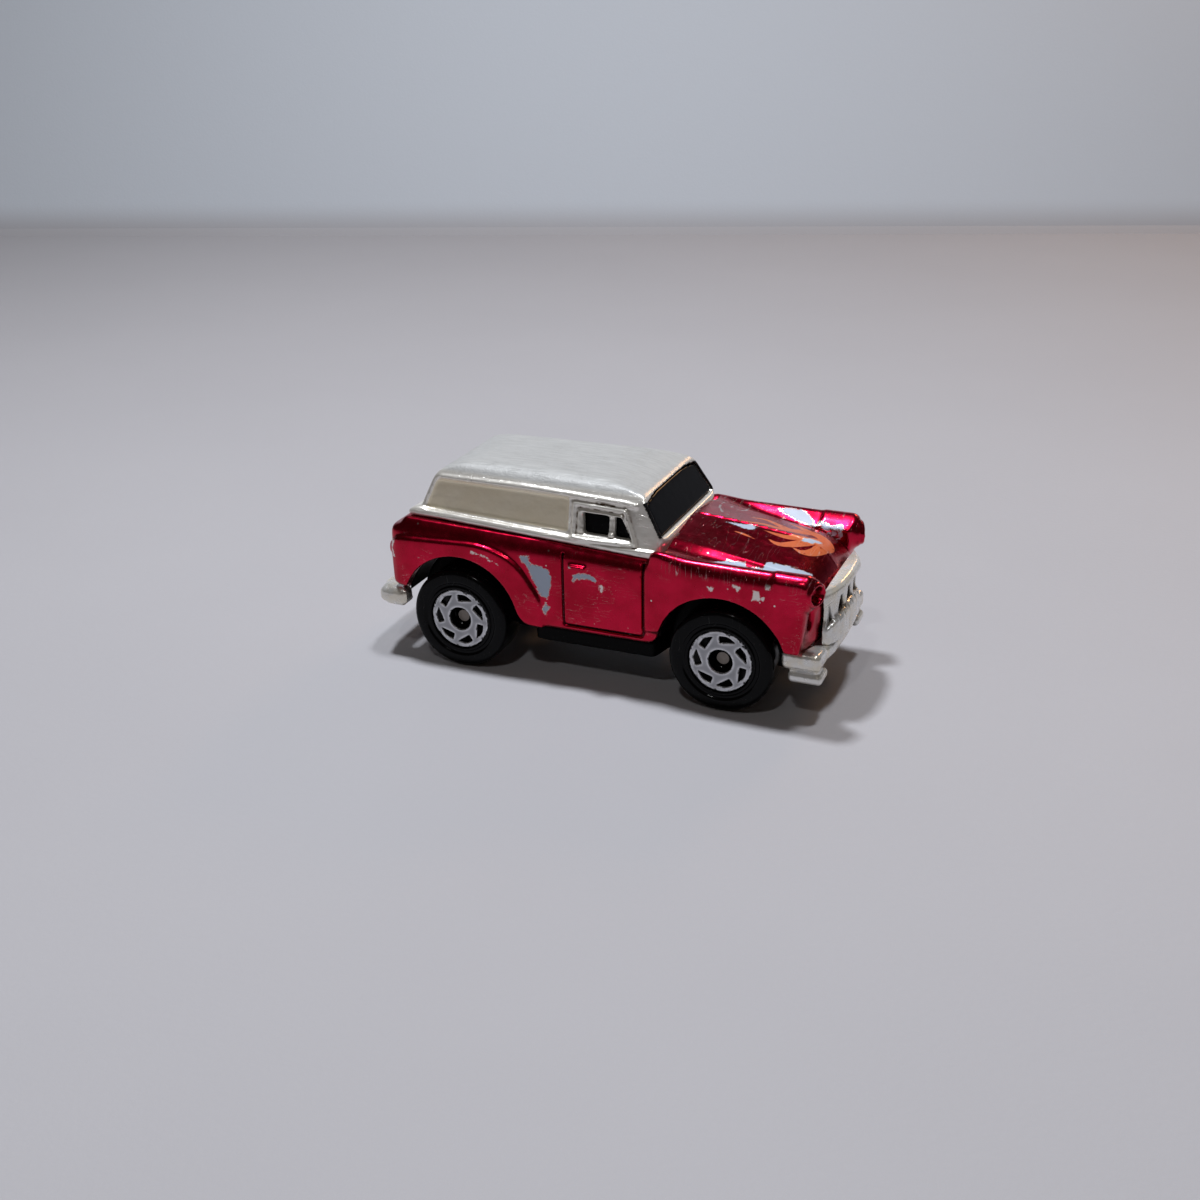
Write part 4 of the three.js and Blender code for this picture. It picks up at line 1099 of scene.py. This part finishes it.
VIEW_AZIMUTH, VIEW_ELEVATION, VIEW_ROLL = 23.273, 23.635, -1.004  # degrees
VIEW_TARGET = (-1.677, 0, 3.944)
VIEW_DISTANCE = 110.856
SENSOR_WIDTH, LENS = 36, 43.958
FLOOR_NEAR = -500  # how far the floor reaches on the camera's side of the car
FLOOR_HALF_WIDTH = 900
FLOOR_TURN = VIEW_AZIMUTH - 5.0
FOLD = 183  # how far beyond the car the floor ends
SUBJECT = (0, 0, 5)  # what every light points at
OVERHEAD_SIZE = (26, 26)
COOL_WHITE = (0.96, 1.0, 1.06)


def build_stage():
    """A flat floor that ends in a shallow groove, nearly square to the line of sight, and a backdrop."""
    mesh = bmesh.new()
    rows = [
        (FLOOR_NEAR, 0), (FOLD, 0), (FOLD + 0.5, -0.7), (FOLD + 1.2, -0.7), (FOLD + 3, 1), (FOLD + 200, 400),
    ]
    corners = [
        [mesh.verts.new((side * FLOOR_HALF_WIDTH * MM, y * MM, z * MM)) for side in (-1, 1)] for y, z in rows
    ]
    for lower, upper in zip(corners, corners[1:]):
        mesh.faces.new((lower[0], lower[1], upper[1], upper[0]))
    data = bpy.data.meshes.new("floor")
    mesh.to_mesh(data)
    floor = new_object("Floor", data)
    floor.rotation_euler = (0, 0, math.radians(FLOOR_TURN))
    look = Look("pale_floor")
    tone = look.noise(0.02, 3.0, 0.6)
    colour = look.mix(tone, (0.43, 0.42, 0.44), (0.47, 0.46, 0.48))
    colour = look.mix(look.step(look.axes()[2], 0.0, 6.0), colour, (0.60, 0.63, 0.68))
    data.materials.append(look.finish(colour, 0.0, 0.6, look.noise(2.0, 3.0), 0.02, specular=0.3))


def area_light(name, place_mm, size, power, colour):
    """A rectangular light that points at the car, its place and size in millimetres."""
    data = bpy.data.lights.new(name, "AREA")
    data.shape = "RECTANGLE"
    data.size, data.size_y = size[0] * MM, size[1] * MM
    data.energy = power
    data.color = colour
    light = new_object(name, data)
    light.location = Vector(place_mm) * MM
    light.rotation_mode = "QUATERNION"
    light.rotation_quaternion = (Vector(SUBJECT) - Vector(place_mm)).to_track_quat("-Z", "Y")


def build_light():
    area_light("overhead", (-60, 18, 262), OVERHEAD_SIZE, 0.47, COOL_WHITE)
    area_light("side_key", (40, 15, 262), OVERHEAD_SIZE, 0.26, COOL_WHITE)
    area_light("warm_rear", (60, 260, 150), (60, 40), 0.07, (1.0, 0.55, 0.26))
    area_light("glint", (10, -150, 230), (12, 12), 0.06, (1.0, 1.0, 1.0))
    world = bpy.data.worlds.new("studio")
    bpy.context.scene.world = world
    world.use_nodes = True
    background = world.node_tree.nodes["Background"]
    background.inputs["Color"].default_value = (1.0, 0.78, 0.58, 1)
    background.inputs["Strength"].default_value = 0.035
    bpy.context.scene.view_settings.view_transform = "Standard"


def build_camera():
    azimuth, elevation, roll = map(math.radians, (VIEW_AZIMUTH, VIEW_ELEVATION, VIEW_ROLL))
    level = Vector((math.sin(azimuth), -math.cos(azimuth), 0))
    back = level * math.cos(elevation) + Vector((0, 0, math.sin(elevation)))
    right = Vector((math.cos(azimuth), math.sin(azimuth), 0))
    up = back.cross(right)
    across = right * math.cos(roll) + up * math.sin(roll)
    above = up * math.cos(roll) - right * math.sin(roll)
    data = bpy.data.cameras.new("camera")
    data.sensor_width = SENSOR_WIDTH
    data.lens = LENS
    data.clip_start = 0.005
    camera = new_object("camera", data)
    matrix = Matrix((across, above, back)).transposed().to_4x4()
    matrix.translation = (Vector(VIEW_TARGET) + back * VIEW_DISTANCE) * MM
    camera.matrix_world = matrix
    bpy.context.scene.camera = camera


build_shells()
build_wheels()
dress_fittings()
build_stage()
build_light()
build_camera()

bpy.context.view_layer.update()
